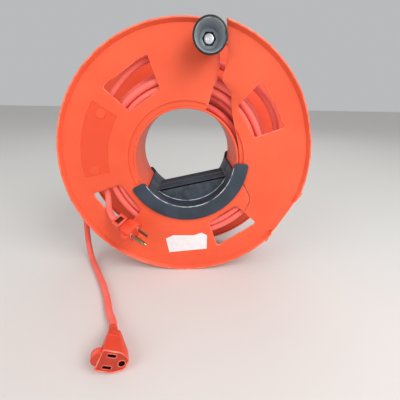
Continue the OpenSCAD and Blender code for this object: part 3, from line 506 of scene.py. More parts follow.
def moulded(name, base, darker, roughness, spread, grain, depth, mottle, edge_wear_and_highlight=None, tone=None,
            well=None, level=0.5):
    """A moulded plastic: colour that drifts over mottle millimetres, a spark-eroded grain of the mould
    of grain by depth millimetres, edges paler where the piece has the attribute for rubbed wear and a
    painted highlight, another tint where it has a 'tone' one (the label panel, painted shade on the
    receptacle's face and a painted sheen in the knob's cup), and painted shade of a deep hole where it has
    a 'well' one."""
    material, tree, shader, place = start_material(name)
    drift = add(tree, "MapRange", {"Value": noise(tree, place, mottle, detail=3.0, roughness=0.55),
                                   "From Min": NOISE_LOW, "From Max": NOISE_HIGH})
    tint = blend(tree, drift.outputs["Result"], (*base, 1), (*darker, 1))
    for key, over in (("tone", tone), ("rub", edge_wear_and_highlight), ("well", well)):
        if over is None:
            continue
        amount = add(tree, "Attribute", attribute_name=key).outputs["Fac"]
        if key == "rub":            # the rubbed wear and painted highlight are patchy
            patch = add(tree, "MapRange", {"Value": noise(tree, place, 9, detail=4.0),
                                           "From Min": NOISE_LOW, "From Max": 0.6})
            amount = add(tree, "Math", {0: amount, 1: patch.outputs["Result"]},
                         operation="MULTIPLY").outputs[0]
        tint = blend(tree, amount, tint, (*over, 1))
    tree.links.new(tint, shader.inputs["Base Color"])
    gloss = add(tree, "MapRange", {"Value": noise(tree, place, 6, detail=5.0, roughness=0.7),
                                   "From Min": NOISE_LOW, "From Max": NOISE_HIGH,
                                   "To Min": roughness - spread, "To Max": roughness + spread})
    tree.links.new(gloss.outputs["Result"], shader.inputs["Roughness"])
    bump = add(tree, "Bump", {"Height": noise(tree, place, grain, detail=2.0), "Strength": 0.5,
                              "Distance": depth * MM})
    tree.links.new(bump.outputs["Normal"], shader.inputs["Normal"])
    shader.inputs["IOR"].default_value = POLYMER_IOR
    shader.inputs["Specular IOR Level"].default_value = level
    return material


def metal(name, base, roughness, spread, scratch):
    """A bare metal: brushed or tumbled, with fine scratches that change its gloss."""
    material, tree, shader, place = start_material(name)
    scratches = noise(tree, place, scratch, detail=4.0)
    gloss = add(tree, "MapRange", {"Value": scratches, "To Min": roughness - spread,
                                   "To Max": roughness + spread})
    tree.links.new(gloss.outputs["Result"], shader.inputs["Roughness"])
    bump = add(tree, "Bump", {"Height": scratches, "Strength": 0.2, "Distance": 0.02 * MM})
    tree.links.new(bump.outputs["Normal"], shader.inputs["Normal"])
    shader.inputs["Base Color"].default_value = (*base, 1)
    shader.inputs["Metallic"].default_value = 1.0
    return material


def paint(key):
    """The reel's materials, each made once, from the colours in the panel."""
    c = bpy.context.scene.cord_reel_colours
    recipes = {
        # Injection-moulded polypropylene: satin, slightly waxy, fine spark grain; pale edges are wear and
        # painted highlight
        "polypropylene": lambda: moulded("Polypropylene moulded", c.reel, c.reel_shade, 0.48, 0.07, 0.7,
                                         0.03, 60.0, c.reel_wear_and_highlight, c.panel),
        # Glass-filled nylon for the handle: dull blue-black; pale edges and beads are wear and painted
        # highlight
        "nylon": lambda: moulded("Nylon glass-filled", c.handle, c.handle_shade, 0.55, 0.08, 0.5, 0.04,
                                 25.0, c.black_wear_and_highlight),
        # Polypropylene with carbon black for the knob: satin, a painted grey sheen in its cup, painted
        # shade in its well
        "knob": lambda: moulded("Polypropylene black", c.knob, c.knob_shade, 0.36, 0.08, 0.6, 0.02, 12.0,
                                c.black_wear_and_highlight, c.knob_cup_sheen, c.well),
        # Extruded PVC cord jacket: soft sheen, pinker than the reel
        "jacket": lambda: moulded("PVC cord jacket", c.jacket, c.jacket_shade, 0.48, 0.06, 0.9, 0.03, 30.0,
                                  level=0.3),
        # PVC overmoulded on the cord's ends: more saturated than the jacket; painted shade on the
        # receptacle's face and in deep holes
        "vinyl": lambda: moulded("PVC overmoulding", c.vinyl, c.vinyl_shade, 0.45, 0.06, 0.6, 0.02, 14.0,
                                 c.vinyl_wear_and_highlight, c.vinyl_face_shade, c.well, 0.35),
        # Bright zinc plate: a cool mirror with fine tumbling marks
        "zinc": lambda: metal("Zinc-plated steel", c.zinc, 0.28, 0.1, 0.8),
        # Stamped brass gone dull: a soft grey-yellow shine
        "brass": lambda: metal("Brass stamped", c.brass, 0.25, 0.08, 0.6),
        # Masking tape: matt crepe paper
        "paper": lambda: moulded("Crepe paper tape", c.paper, c.paper_shade, 0.85, 0.05, 0.9, 0.08, 8.0),
    }
    if key not in MADE:
        MADE[key] = recipes[key]()
    return MADE[key]


# ---------------------------------------------------------------- the flanges

def window_outline(bearing):
    """A window: the straight inner and outer sides and the two slanting ones, with rounded corners."""
    slope = math.tan(math.radians(WINDOW_HALF))
    corners = np.array([[WINDOW_IN, -WINDOW_IN * slope], [WINDOW_OUT, -WINDOW_OUT * slope],
                        [WINDOW_OUT, WINDOW_OUT * slope], [WINDOW_IN, WINDOW_IN * slope]])
    return rounded(turned(corners, bearing), WINDOW_CORNER, 7)


def out_from_hub(pairs):
    """Points given as distance out from the hub's seat and bearing."""
    p = np.array(pairs, float)
    return flat(HUB_SEAT_R + p[:, 0], p[:, 1])


def slot_outline():
    """The cord slot: in at the rim, down to the hub, along the hub below the flap and back."""
    hub = flat(HUB_SEAT_R - 1, np.linspace(SLOT_HUB[1], SLIT_FROM, 25))
    flap = flat(HUB_SEAT_R + FLAP_GAP, np.linspace(SLIT_FROM, SLOT_HUB[0], 9))
    return np.vstack([flat(MOUTH_R, SLOT_MOUTH[0]), out_from_hub(SLOT_LEFT), hub, flap,
                      out_from_hub(SLOT_RIGHT), flat(MOUTH_R, SLOT_MOUTH[1])])


def slit_outline():
    """The slit round the flap's root: its route moved half its width to each side."""
    line = smooth(out_from_hub(SLIT_ROUTE), 3)
    heading = unit(np.gradient(line, axis=0))
    edge = SLIT_W / 2 * np.stack([-heading[:, 1], heading[:, 0]], 1)
    return np.vstack([line + edge, (line - edge)[::-1]])


def foot_outlines():
    """The foot's strip and its two toes, as rectangles."""
    toes = [(FOOT_DIST - 1, FOOT_DIST + TOE_H, z, z + TOE_LEN) for z in (-FOOT_HALF, FOOT_HALF - TOE_LEN)]
    strip = (FOOT_DIST - RIM_T, FOOT_DIST, -FOOT_HALF, FOOT_HALF)
    return [turned(rectangle(*sides), FOOT_BEARING) for sides in (strip, *toes)]


def flange_plate(front, bend):
    """A flange as one plate: its face, its rim bead, the groove and spigot round the hub, and for the
    front one also the windows, the slot, the slit and the label panel. The depths follow the radius."""
    holes = []
    if front:
        holes = [window_outline(b) for b in WINDOW_BEARINGS] + [slot_outline(), slit_outline()]
    feet = foot_outlines()
    rim_r, rim_y = np.array(RIM_PROFILE).T
    outlines = [circle(r) for r in (*rim_r[::-1], COLLAR_R + STEP, COLLAR_R, GROOVE_R + STEP, GROOVE_R)]
    outlines += [circle(r, 240) for r in (HUB_SEAT_R + bend, HUB_SEAT_R + MID_BEND * bend, HUB_SEAT_R)]
    outlines += [ring for hole in holes for ring in rings_of(hole, bend)]
    outlines += [dense(f, 4) for f in feet]
    if front:
        ends = np.linspace(PANEL_FROM, PANEL_TO, 22)
        panel = rounded(np.vstack([flat(PANEL_IN, ends), flat(PANEL_OUT, ends[::-1])]), PANEL_CORNER, 3)
        buttons = [flat(BUTTON_DIST, b) + circle(BUTTON_R, 40) for b in BUTTON_BEARINGS]
        outlines += [dense(panel, 5), dense(offset(panel, -PANEL_SLOPE), 5)]
        outlines += [ring for b in buttons for ring in (b, offset(b, -BUTTON_SLOPE))]

    def inside(p):
        """Inside the rim and the foot's flat or in the foot, off the hub's seat and off the holes."""
        r = np.hypot(*p.T)
        kept = (r < REEL_R) & (turned(p, -FOOT_BEARING)[:, 0] < FOOT_DIST) | within_any(p, feet)
        return kept & (r > HUB_SEAT_R) & ~within_any(p, holes)

    def on_foot(p):
        """The foot's strip: the last rim thickness before its flat."""
        out, along = turned(p, -FOOT_BEARING).T
        return (out > FOOT_DIST - RIM_T - 0.01) & (np.abs(along) < FOOT_HALF + 0.01)

    def panel_share(p):
        """1 on the sunk panel, 0 off it."""
        share = np.zeros(len(p))
        near = np.hypot(*p.T) < PANEL_OUT + 1
        share[near] = ramp(depth_in(p[near], panel), 0.05, 0.45)
        return share

    def button_share(p):
        """1 on a button, 0 off it."""
        return np.max([ramp(depth_in(p, b), -0.05, 0.35) for b in buttons], 0)

    def face(p):
        """The front's depth: the rim's profile, the groove, the panel and less the buttons."""
        r = np.hypot(*p.T)
        y = np.interp(r, rim_r, rim_y) + GROOVE_Y * (1 - ramp(r, GROOVE_R, GROOVE_R + STEP))
        if front:
            y = y + PANEL_DEPTH * panel_share(p) - BUTTON_H * button_share(p)
        return np.where(on_foot(p), FOOT_Y, y)

    def back(p):
        """The back's depth: deeper on the spigot and on the rim."""
        r = np.hypot(*p.T)
        y = PLATE_BACK + (SPIGOT_Y - PLATE_BACK) * (1 - ramp(r, COLLAR_R, COLLAR_R + STEP))
        return np.where(on_foot(p), RIM_BACK, y + (RIM_BACK - PLATE_BACK) * ramp(r, *RIM_STEP))

    # The share of each edge's bend makes that edge paler, rubbed wear and a painted highlight, and the
    # rim's lip gets a pale line
    points, faces, rub = plate(outlines, inside, face, back, FLANGE_SPACING, bend,
                               lambda m: np.hypot(*m.T) > REEL_R - STEP)
    flat_points, depth = points[:, [0, 2]], points[:, 1]
    lip = (np.abs(np.hypot(*flat_points.T) - LIP_R) < LIP_HALF) & (depth < 1)
    rub = np.maximum(rub, LIP_WEAR_AND_HIGHLIGHT * lip)
    tone = np.zeros(len(points))
    if front:
        on_front = depth < PLATE_BACK - 0.5
        tone = panel_share(flat_points) * on_front * (1 - 0.7 * button_share(flat_points))
    return points, faces, rub, tone


def spring_flap(points, tip):
    """The flap beside the slot, sprung forward. At radius r and bearing b it stands forward by
    tip * r sin(b - axis) / (R sin(mouth - axis)), times (r - flat) / ease held between 0 and 1."""
    r = np.hypot(points[:, 0], points[:, 2])
    turn = np.arctan2(points[:, 2], points[:, 0]) - math.radians(FLAP_AXIS)
    reach = REEL_R * math.sin(math.radians(SLOT_MOUTH[1] - FLAP_AXIS))
    beyond = flat(2 * REEL_R, np.array([FLAP_FROM, (FLAP_FROM + SLOT_MOUTH[1]) / 2]))
    zone = np.vstack([[[0, 0]], beyond, [flat(MOUTH_R, sum(SLOT_MOUTH) / 2)], out_from_hub(SLOT_MIDDLE)])
    rise = np.where(within(points[:, [0, 2]], zone), np.maximum(0, r * np.sin(turn)) / reach, 0)
    moved = points.copy()
    moved[:, 1] -= tip * rise * ramp(r, FLAP_FLAT, FLAP_FLAT + FLAP_EASE)
    return moved


# ---------------------------------------------------------------- the winding

def front_line(step):
    """The front turns: a spiral out to the layer's radius, LAYER_R - TURN_STEP (LOOSE_FROM - a) / 360,
    then the loose turn of the two tables, smoothed over 11 steps. Returns bearings, radii and depths."""
    turns = (LAYER_R - FRONT_IN_R) / TURN_STEP
    a = np.append(np.arange(LOOSE_FROM - 360 * turns, LOOSE_TO, step), LOOSE_TO)
    spiral = LAYER_R - TURN_STEP * (LOOSE_FROM - a) / 360
    r = np.where(a < LOOSE_FROM, spiral, np.interp(a, *np.array(LOOSE_R, float).T))
    y = np.where(a < LOOSE_FROM, FRONT_PLANE, np.interp(a, *np.array(LOOSE_Y, float).T))
    kernel = np.hanning(11) / np.hanning(11).sum()
    r, y = (np.convolve(np.pad(v, 5, "edge"), kernel, "valid") for v in (r, y))
    return a, r, y


def outer_line(step):
    """The outer turns: three turns that round the rear corner, then a helix along the layer. After t turns
    the helix is TURN_STEP (t - 3) in front of the corner's end."""
    corner = np.radians([0.0, 30.0, 60.0])
    knots_r = OUTER_IN_R + TURN_STEP * np.append(0, np.cumsum(np.cos(corner)))
    knots_y = REAR_PLANE - TURN_STEP * np.append(0, np.cumsum(np.sin(corner)))
    turns = 3 + (knots_y[-1] - OUTER_END_Y) / TURN_STEP
    t = np.append(np.arange(0, turns, step / 360), turns)
    r = np.interp(t, np.arange(4), knots_r)
    y = np.where(t < 3, np.interp(t, np.arange(4), knots_y), knots_y[-1] - TURN_STEP * (t - 3))
    return OUTER_END_BEARING - 360 * (turns - t), r, y


def inner_line(step):
    """The inner turns: a helix that runs to and fro between the flanges, one cord further out each time,
    over the last half turn of a layer."""
    per_layer = (INNER_HIGH - INNER_LOW) / INNER_TURN
    t = np.arange(0, per_layer * LAYERS, step / 360)
    layer, part = np.floor(t / per_layer), t / per_layer % 1
    across = np.where(layer % 2 == 0, part, 1 - part)
    out = np.clip(layer + ramp(part, 1 - 0.5 / per_layer, 1), 0, LAYERS - 1)
    return 360 * t, INNER_R + LAYER_STEP * out, INNER_LOW + (INNER_HIGH - INNER_LOW) * across


def straight_ends(bearing, r, y, run):
    """The points of a wound line, with a straight run along its tangent before the first and after the
    last."""
    line = around(r, bearing, y)
    tangent = around(1.0, bearing[[0, -1]] + 90, 0.0)
    return np.vstack([line[0] - run * tangent[0], line, line[-1] + run * tangent[1]])


# ---------------------------------------------------------------- the plug and the receptacle

def sleeve(table):
    """Rings of a moulded sleeve, one for each row of a table: a six-sided outline with rounded corners,
    (1 - share) outline + share radius (the outline's direction)."""

    def ring(z, half, ear, ground, crease, share=0, radius=5):
        """One ring, z in front of the face."""
        corners = [[-half, ear], [-half, crease], [-0.5 * half, ground], [0.5 * half, ground],
                   [half, crease], [half, ear]]
        outline = rounded(corners, np.array([2.4, 2.6, 3.4, 3.4, 2.6, 2.4]) * half / 11.5, 6)
        outline = (1 - share) * outline + share * radius * unit(outline)
        return np.column_stack([outline + [0, BODY_SHIFT], np.full(len(outline), z)])

    return np.array([ring(*row) for row in table])


def upright(points):
    """A plate's points in the plane of the blades' roots: its depth counts back from the face."""
    return points[:, [0, 2, 1]] * [1, 1, -1]


def end_piece(name, parts, at, turn, slot, nodes):
    """Joins the parts of a plug or receptacle and moves them to their place on the cord."""
    (points, faces), values = gather(parts, "rub", "tone", "well")
    return piece(name, (placed(points, at, turn), faces), paint("vinyl"), "reel", slot, nodes, **values)


def plug():
    """The plug: a six-sided front with two finger lobes and collars round the blades, and a rear block
    with a pocket in its upper side."""
    parts = [(closed(sleeve(PLUG_RINGS)), {})]
    for x in LOBE_X:
        points, faces = lathe(rounded(rectangle(0, LOBE_R, -LOBE_HALF, LOBE_HALF), [0, 1.2, 1.2, 0]), 36)
        parts.append(((points + [x, BODY_SHIFT - LOBE_DROP, LOBE_Z], faces), {}))
    block, pocket = rounded(rectangle(*BLOCK), BLOCK_CORNER), rounded(rectangle(*POCKET), VINYL_EDGE)
    points, faces, share = plate(
        rings_of(block, VINYL_EDGE, 2.0, False) + rings_of(pocket, VINYL_EDGE, 2.0),
        lambda p: within(p, block) & ~within(p, pocket), *BLOCK_DEPTHS, 2.5, VINYL_EDGE)
    left, right, low, high = np.add(POCKET, np.array([-1, 1, -1, 1]) * POCKET_MARGIN)
    x, depth, z = points.T
    in_pocket = (x > left) & (x < right) & (z > low) & (z < high) & (depth > POCKET_TOP)
    # The block's rounded edges are paler, rubbed wear and a painted highlight, and its pocket gets painted
    # shade
    parts.append(((points, faces), {"rub": share * (depth < -3), "well": in_pocket * 0.9}))
    parts.append((plate([dense(pocket, 2.0)], pocket, *POCKET_DEPTHS, 2.5, 0.1), {"well": 0.85}))
    for x in BLADE_X:
        collar = rounded(rectangle(x - BLADE_COLLAR_HALF, x + BLADE_COLLAR_HALF, -BLADE_COLLAR_LONG,
                                   BLADE_COLLAR_LONG), BLADE_COLLAR_CORNER)
        points, faces, _ = plate(rings_of(collar, 0.4, 1.5, False), collar, BLADE_COLLAR_OUT, 0.5, 2.0, 0.4)
        # The collars round the blades are pale all over: a painted highlight with rubbed wear
        parts.append(((upright(points), faces), {"rub": 1.0}))
    return end_piece("plug_shell", parts, PLUG_AT, PLUG_TURN, "plug_vinyl",
                     ("plug_body", "plug_strain_relief"))


def socket_taper(z):
    """A ring of the receptacle's taper: its sizes change evenly with t = (z + 13) / 23."""
    t = (z + 13) / 23
    return [z, 10.7 + 1.9 * t, -11.4 - 4.6 * t, 13.8 + 5.8 * t, 3.9]


def receptacle():
    """The receptacle: a six-sided sleeve that tapers to the cord, a sunk face whose slots and ground hole
    have raised rims, a short notch across its upper side and a finger lobe."""
    rings = sleeve(SOCKET_FRONT + [socket_taper(z) for z in SOCKET_TAPER] + SOCKET_REAR)
    x, side, z = np.moveaxis(rings, -1, 0)
    x += NOTCH_DEPTH * ((z < NOTCH_TO) & (z > NOTCH_FROM) & (x < NOTCH_X) & (side < NOTCH_SIDE))
    body = closed(rings)
    face = offset(sleeve([SOCKET_FRONT[1]])[0, :, :2], 0.1)
    holes = [rounded(rectangle(blade - HOLE_HALF, blade + HOLE_HALF, -HOLE_LONG, HOLE_LONG), HOLE_CORNER, 3)
             for blade in BLADE_X]
    holes.append(circle(GROUND_R, 32) + [0, GROUND_DIST])

    def to_hole(p):
        """Least distance to the edge of a hole."""
        return np.min([distance_to(p, h, np.roll(h, -1, 0)) for h in holes], 0)

    def near_hole(p):
        """1 on the flat of a hole's rim, 0 from the rim's end on."""
        return ramp(-to_hole(p), -HOLE_RIM_END, -HOLE_RIM_FLAT)

    outlines = [dense(face, 2.0)]
    for hole in holes:
        outlines += rings_of(hole, HOLE_BEND, 1.0) + [offset(dense(hole, 1.0), HOLE_RIM_FLAT)]
    points, faces, _ = plate(outlines, lambda p: within(p, face) & ~within_any(p, holes),
                             lambda p: FACE_SUNK - HOLE_RIM_H * near_hole(p), HOLE_DEPTH, 2.0, 0.2)
    # Painted shade on the sunk face, less on the holes' raised rims, and on the lobe's front; painted shade
    # down the holes; pale edges and rims are rubbed wear and a painted highlight
    flat_points, on_face = points[:, [0, 2]], points[:, 1] < 4
    rim = near_hole(flat_points) * on_face
    deep = ~on_face | (to_hole(flat_points) < 0.05)
    lobe, lobe_faces = lathe(rounded(rectangle(0, EAR_R, 0, EAR_LONG), [0, EAR_EDGE, EAR_EDGE, 0]), 48)
    lobe_edge = (np.hypot(lobe[:, 0], lobe[:, 2]) > EAR_R - STEP) & (lobe[:, 1] < 1)
    parts = [(body, {"rub": np.isin(body[0][:, 2], SOCKET_EDGE) * 0.9}),
             ((upright(points), faces),
              {"tone": on_face * (1 - 0.6 * rim), "rub": 0.4 * rim, "well": deep}),
             ((upright(lobe) + [EAR_X, BODY_SHIFT - EAR_DROP, EAR_Z], lobe_faces),
              {"tone": (lobe[:, 1] < 0.1) * 0.8, "rub": lobe_edge * 0.9})]
    return end_piece("receptacle_shell", parts, SOCKET_AT, SOCKET_TURN, "receptacle_vinyl",
                     ("receptacle_body", "receptacle_strain_relief"))


# ---------------------------------------------------------------- the handle

def arc_outline():
    """The handle's arc on the face: two arcs about the reel's axis, joined at each end round two
    corners."""
    out_r, in_r = ARC_R - ARC_CORNER, LINER_R + ARC_CORNER
    out_at, in_at = (ARC_HALF - math.degrees(math.asin(ARC_CORNER / r)) for r in (out_r, in_r))
    end = np.vstack([flat(out_r, out_at) + flat(ARC_CORNER, np.linspace(out_at, ARC_HALF + 90, 8)),
                     flat(in_r, in_at) + flat(ARC_CORNER, np.linspace(ARC_HALF + 90, in_at + 180, 8))])
    along = HANDLE_BEARING + np.linspace(-ARC_CUT, ARC_CUT, 60)
    return np.vstack([flat(ARC_R, along), turned(end, HANDLE_BEARING), flat(LINER_R, along[::-1]),
                      turned((end * [1, -1])[::-1], HANDLE_BEARING)])


def handle_half():
    """Half of the handle, as plates between two depths: the arc on the face, the liner in the hand
    hole, the web across the grip and the grip's flat top, with screw bosses, two beads made pale by a
    painted highlight, and ribs. The web gets a touch of painted light."""
    along = HANDLE_BEARING + np.linspace(1 - ARC_CUT, ARC_CUT - 1, 60)
    reach = math.degrees(math.acos(GRIP_DIST / LINER_R))
    grip_half = math.sqrt(LINER_R**2 - GRIP_DIST**2)
    liner = np.vstack([flat(HANDLE_R, along), flat(LINER_R, along[::-1])])
    web = flat(LINER_R + 0.02, HANDLE_BEARING + np.linspace(-reach, reach, 50))
    top = turned(rectangle(GRIP_DIST, GRIP_DIST + WALL, -grip_half, grip_half), HANDLE_BEARING)
    parts = []
    # The last column is how pale each plate is made: a touch of painted light on the web
    for outline, start, end, bend, spacing, rub in (
            (arc_outline(), ARC_Y, ARC_BACK, 1.0, 4.0, 0.0), (liner, ARC_Y + 0.8, HALF_W, 0.4, 4.0, 0.0),
            (web, WEB_Y, WEB_Y + WALL, 0.6, 5.0, 0.05), (top, WEB_Y, HALF_W, 0.6, 5.0, 0.0)):
        shell = plate(rings_of(outline, bend, 3.0, False), outline, start, end, spacing, bend)
        parts.append((shell, {"rub": rub}))
    boss, faces = lathe(rounded(rectangle(0, SCREW_BOSS_R, WEB_Y + 1, HALF_W), [0, 0.5, 0.3, 0]), 32)
    for b in SCREW_BEARINGS:
        parts.append(((boss + around(SCREW_DIST, HANDLE_BEARING + b, 0.0), faces), {}))
    # Two beads, pale all over: a painted highlight along the arc's inner edge and along the web's rim
    for radius, depth, half in ((LINER_R + 0.5, ARC_Y + 0.3, ARC_CUT + 3),
                                (LINER_R - 0.5, WEB_Y, reach - 2)):
        bead = around(radius, HANDLE_BEARING + np.linspace(-half, half, 70), depth)
        parts.append((tube(bead, BEAD_R, BACK, 10), {"rub": 1.0}))
    ends = turned(np.array([[GRIP_DIST, 3 - grip_half], [GRIP_DIST, grip_half - 3]]), HANDLE_BEARING)
    line = np.linspace(*ends, 12)
    for depth in np.arange(WEB_Y + RIB_STEP, HALF_W - 2, RIB_STEP):
        rib = np.column_stack([line[:, 0], np.full(12, depth), line[:, 1]])
        parts.append((tube(rib, RIB_R, BACK, 10), {}))
    return gather(parts, "rub")


# ---------------------------------------------------------------- settings

def length(name, description, millimetres, low, high):
    """A length property in metres, given in millimetres."""
    return FloatProperty(name=name, description=description, default=millimetres * MM, min=low * MM,
                         max=high * MM, subtype="DISTANCE", unit="LENGTH")


class CordReelSizes(PropertyGroup):
    """Sizes that may be changed without touching the CAD frame."""

    cord_d: length("Cord diameter", "Outer diameter of the cord's jacket", 8.5, 6, 9)
    bend: length("Edge bend", "Radius on the moulded edges of the flanges", 0.6, 0.2, 1)
    flap_lift: length("Flap lift", "How far the tip of the sprung flap stands forward", 21.0, 0, 22)
    tape_curl: length("Tape curl", "How far the tape's corners lift off the flange", 0.5, 0, 2)
    cord_sides: IntProperty(name="Cord sides", description="Sides of the free cords' section",
                            default=20, min=12, max=32)


def colour(name, text, description):
    """A colour property whose default is an sRGB hex value."""
    return FloatVectorProperty(name=name, description=description, size=3, subtype="COLOR",
                               default=linear(text), min=0.0, max=1.0)


class CordReelColours(PropertyGroup):
    """Colours of the reel's materials."""

    reel: colour("Reel", "#F45F38", "Moulded flanges and hub")
    reel_shade: colour("Reel, shaded", "#EC542F", "Where the moulding's colour drifts darker")
    # Pale edges: rubbed wear and a painted highlight
    reel_wear_and_highlight: colour("Reel, rubbed", "#FFA88E", "Rubbed edges of the moulding")
    panel: colour("Label panel", "#E84A26", "The matt panel for a label")
    handle: colour("Handle", "#33404E", "Handle")
    handle_shade: colour("Handle, shaded", "#262E38", "Where the handle's colour drifts darker")
    # Pale edges of the handle and the knob's lip: rubbed wear and a painted highlight
    black_wear_and_highlight: colour("Black, rubbed", "#D5DADD", "Rubbed edges of the black parts")
    knob: colour("Knob", "#1B1D1E", "Crank knob")
    knob_shade: colour("Knob, shaded", "#151718", "Where the knob's colour drifts darker")
    # A painted sheen: the inside of the knob's cup is grey for the light its satin black catches
    knob_cup_sheen: colour("Knob, inside", "#8F989F", "The rubbed inside of the crank knob")
    # Painted shade down the deep holes, in the knob's well and in the plug's pocket
    well: colour("Well", "#170C0B", "Dark inside of the deep holes")
    jacket: colour("Cord", "#FA766A", "Cord jacket")
    jacket_shade: colour("Cord, shaded", "#F46A5C", "Where the jacket's colour drifts darker")
    vinyl: colour("Plug and receptacle", "#F2523A", "Overmoulded ends of the cord")
    vinyl_shade: colour("Plug and receptacle, shaded", "#E4482A", "Where their colour drifts darker")
    # Painted shade: the receptacle's face, which faces away from the light, is drawn darker
    vinyl_face_shade: colour("Receptacle's face", "#B83A28", "The duller face of the receptacle")
    # Pale edges: rubbed wear and a painted highlight
    vinyl_wear_and_highlight: colour("Plug and receptacle, rubbed", "#FF9F88", "Rubbed edges of the overmoulded ends")
    zinc: colour("Zinc", "#EDEFF1", "Screws, washers and nut")
    brass: colour("Brass", "#A8926A", "Blades, pin and contacts")
    paper: colour("Tape", "#F3F1F0", "Paper tape")
    paper_shade: colour("Tape, shaded", "#E9E6E6", "Folds of the tape")
    floor: colour("Floor", "#DDDBD7", "Floor")


# ---------------------------------------------------------------- operators

class CORDREEL_OT_stage(Operator):
    """Adds the camera, the pale floor, the soft lamps and the world."""

    bl_idname = "cord_reel.stage"
    bl_label = "Stage"

    def execute(self, context):
        """Turns the level camera by its pitch, yaw and roll, and hangs the lamps."""
        scene = context.scene
        forward = Vector((math.sin(YAW) * math.cos(PITCH), math.cos(YAW) * math.cos(PITCH),
                          -math.sin(PITCH)))
        level = Vector((math.cos(YAW), -math.sin(YAW), 0))
        up = level.cross(forward)
        right = math.cos(ROLL) * level + math.sin(ROLL) * up
        up = math.cos(ROLL) * up - math.sin(ROLL) * level
        lens = bpy.data.cameras.new("camera")
        lens.sensor_width, lens.lens = SENSOR, LENS
        lens.clip_start, lens.clip_end = 0.01, 50
        camera = bpy.data.objects.new("camera", lens)
        turn = Matrix((right, up, -forward)).transposed().to_4x4()
        camera.matrix_world = Matrix.Translation(Vector(EYE) * MM) @ turn
        scene.collection.objects.link(camera)
        scene.camera = camera
        scene.view_settings.view_transform = "Standard"
        for name, (place, target, size, power) in LAMPS.items():
            data = bpy.data.lights.new(name, "AREA")
            data.shape, data.size, data.energy = "DISK", size, power
            lamp = bpy.data.objects.new(name, data)
            lamp.location = place
            lamp.rotation_euler = (Vector(target) - Vector(place)).to_track_quat("-Z", "Y").to_euler()
            scene.collection.objects.link(lamp)
        world = bpy.data.worlds.new("studio")
        world.use_nodes = True
        light = world.node_tree.nodes["Background"]
        light.inputs["Color"].default_value = (*linear(WORLD_COLOUR), 1)
        light.inputs["Strength"].default_value = WORLD_STRENGTH
        scene.world = world
        mesh = bpy.data.meshes.new("floor")
        sides = rectangle(-FLOOR_HALF, FLOOR_HALF, -FLOOR_HALF, FLOOR_HALF)
        mesh.from_pydata(np.column_stack([sides, np.zeros(4)]).tolist(), [], [(0, 1, 2, 3)])
        floor = bpy.data.objects.new("floor", mesh)
        scene.collection.objects.link(floor)
        material, _, shader, _ = start_material("Paper backdrop")
        shader.inputs["Base Color"].default_value = (*scene.cord_reel_colours.floor, 1)
        shader.inputs["Roughness"].default_value = 0.8
        mesh.materials.append(material)
        return {"FINISHED"}


class CORDREEL_OT_cords(Operator):
    """Adds the two free ends of the cord, with the plug and the receptacle on them."""

    bl_idname = "cord_reel.cords"
    bl_label = "Free cords"

    def execute(self, context):
        """Each free end starts one diameter past its winding, on the tangent, and ends in a sleeve."""
        sizes = context.scene.cord_reel_sizes
        d = sizes.cord_d / MM
        loose_end = around(LOOSE_R[-1][1], LOOSE_TO, LOOSE_Y[-1][1])
        loose_dir = around(1.0, LOOSE_TO + 90, 0.0)
        outer_end = around(LAYER_R, OUTER_END_BEARING, OUTER_END_Y)
        outer_dir = around(1.0, OUTER_END_BEARING + 90, 0.0)
        plug_dir, socket_dir = (turn_matrix(t)[:, 2] for t in (PLUG_TURN, SOCKET_TURN))
        plug_tail = placed(np.array([0, BODY_SHIFT, -PLUG_LEN - PLUG_RELIEF]), PLUG_AT, PLUG_TURN)
        socket_tail = placed(np.array([0, BODY_SHIFT, -SOCKET_LEN - SOCKET_RELIEF]), SOCKET_AT,
                             SOCKET_TURN)
        lead = sweep(loose_end + d * loose_dir, LEAD_PULLS[0] * loose_dir, plug_tail,
                     LEAD_PULLS[1] * plug_dir, 36)
        tail = smooth([outer_end + d * outer_dir, outer_end + 2 * d * outer_dir, *TAIL_ROUTE,
                       socket_tail - d * socket_dir, socket_tail], 14)
        tail_piece = cord_piece("tail_jacket", tail, (0.87, 0.5, 0), "tail_cord", sizes.cord_sides)
        lead_piece = cord_piece("lead_jacket", lead, (0.5, 0.87, 0), "plug_lead", sizes.cord_sides)
        receptacle_shell, plug_shell = receptacle(), plug()
        prongs = ("plug_blades", "plug_ground_pin")
        contacts = ("receptacle_contacts", "receptacle_ground_contact")
        dress(paint("brass"), *prongs, *contacts)
        return {"FINISHED"}


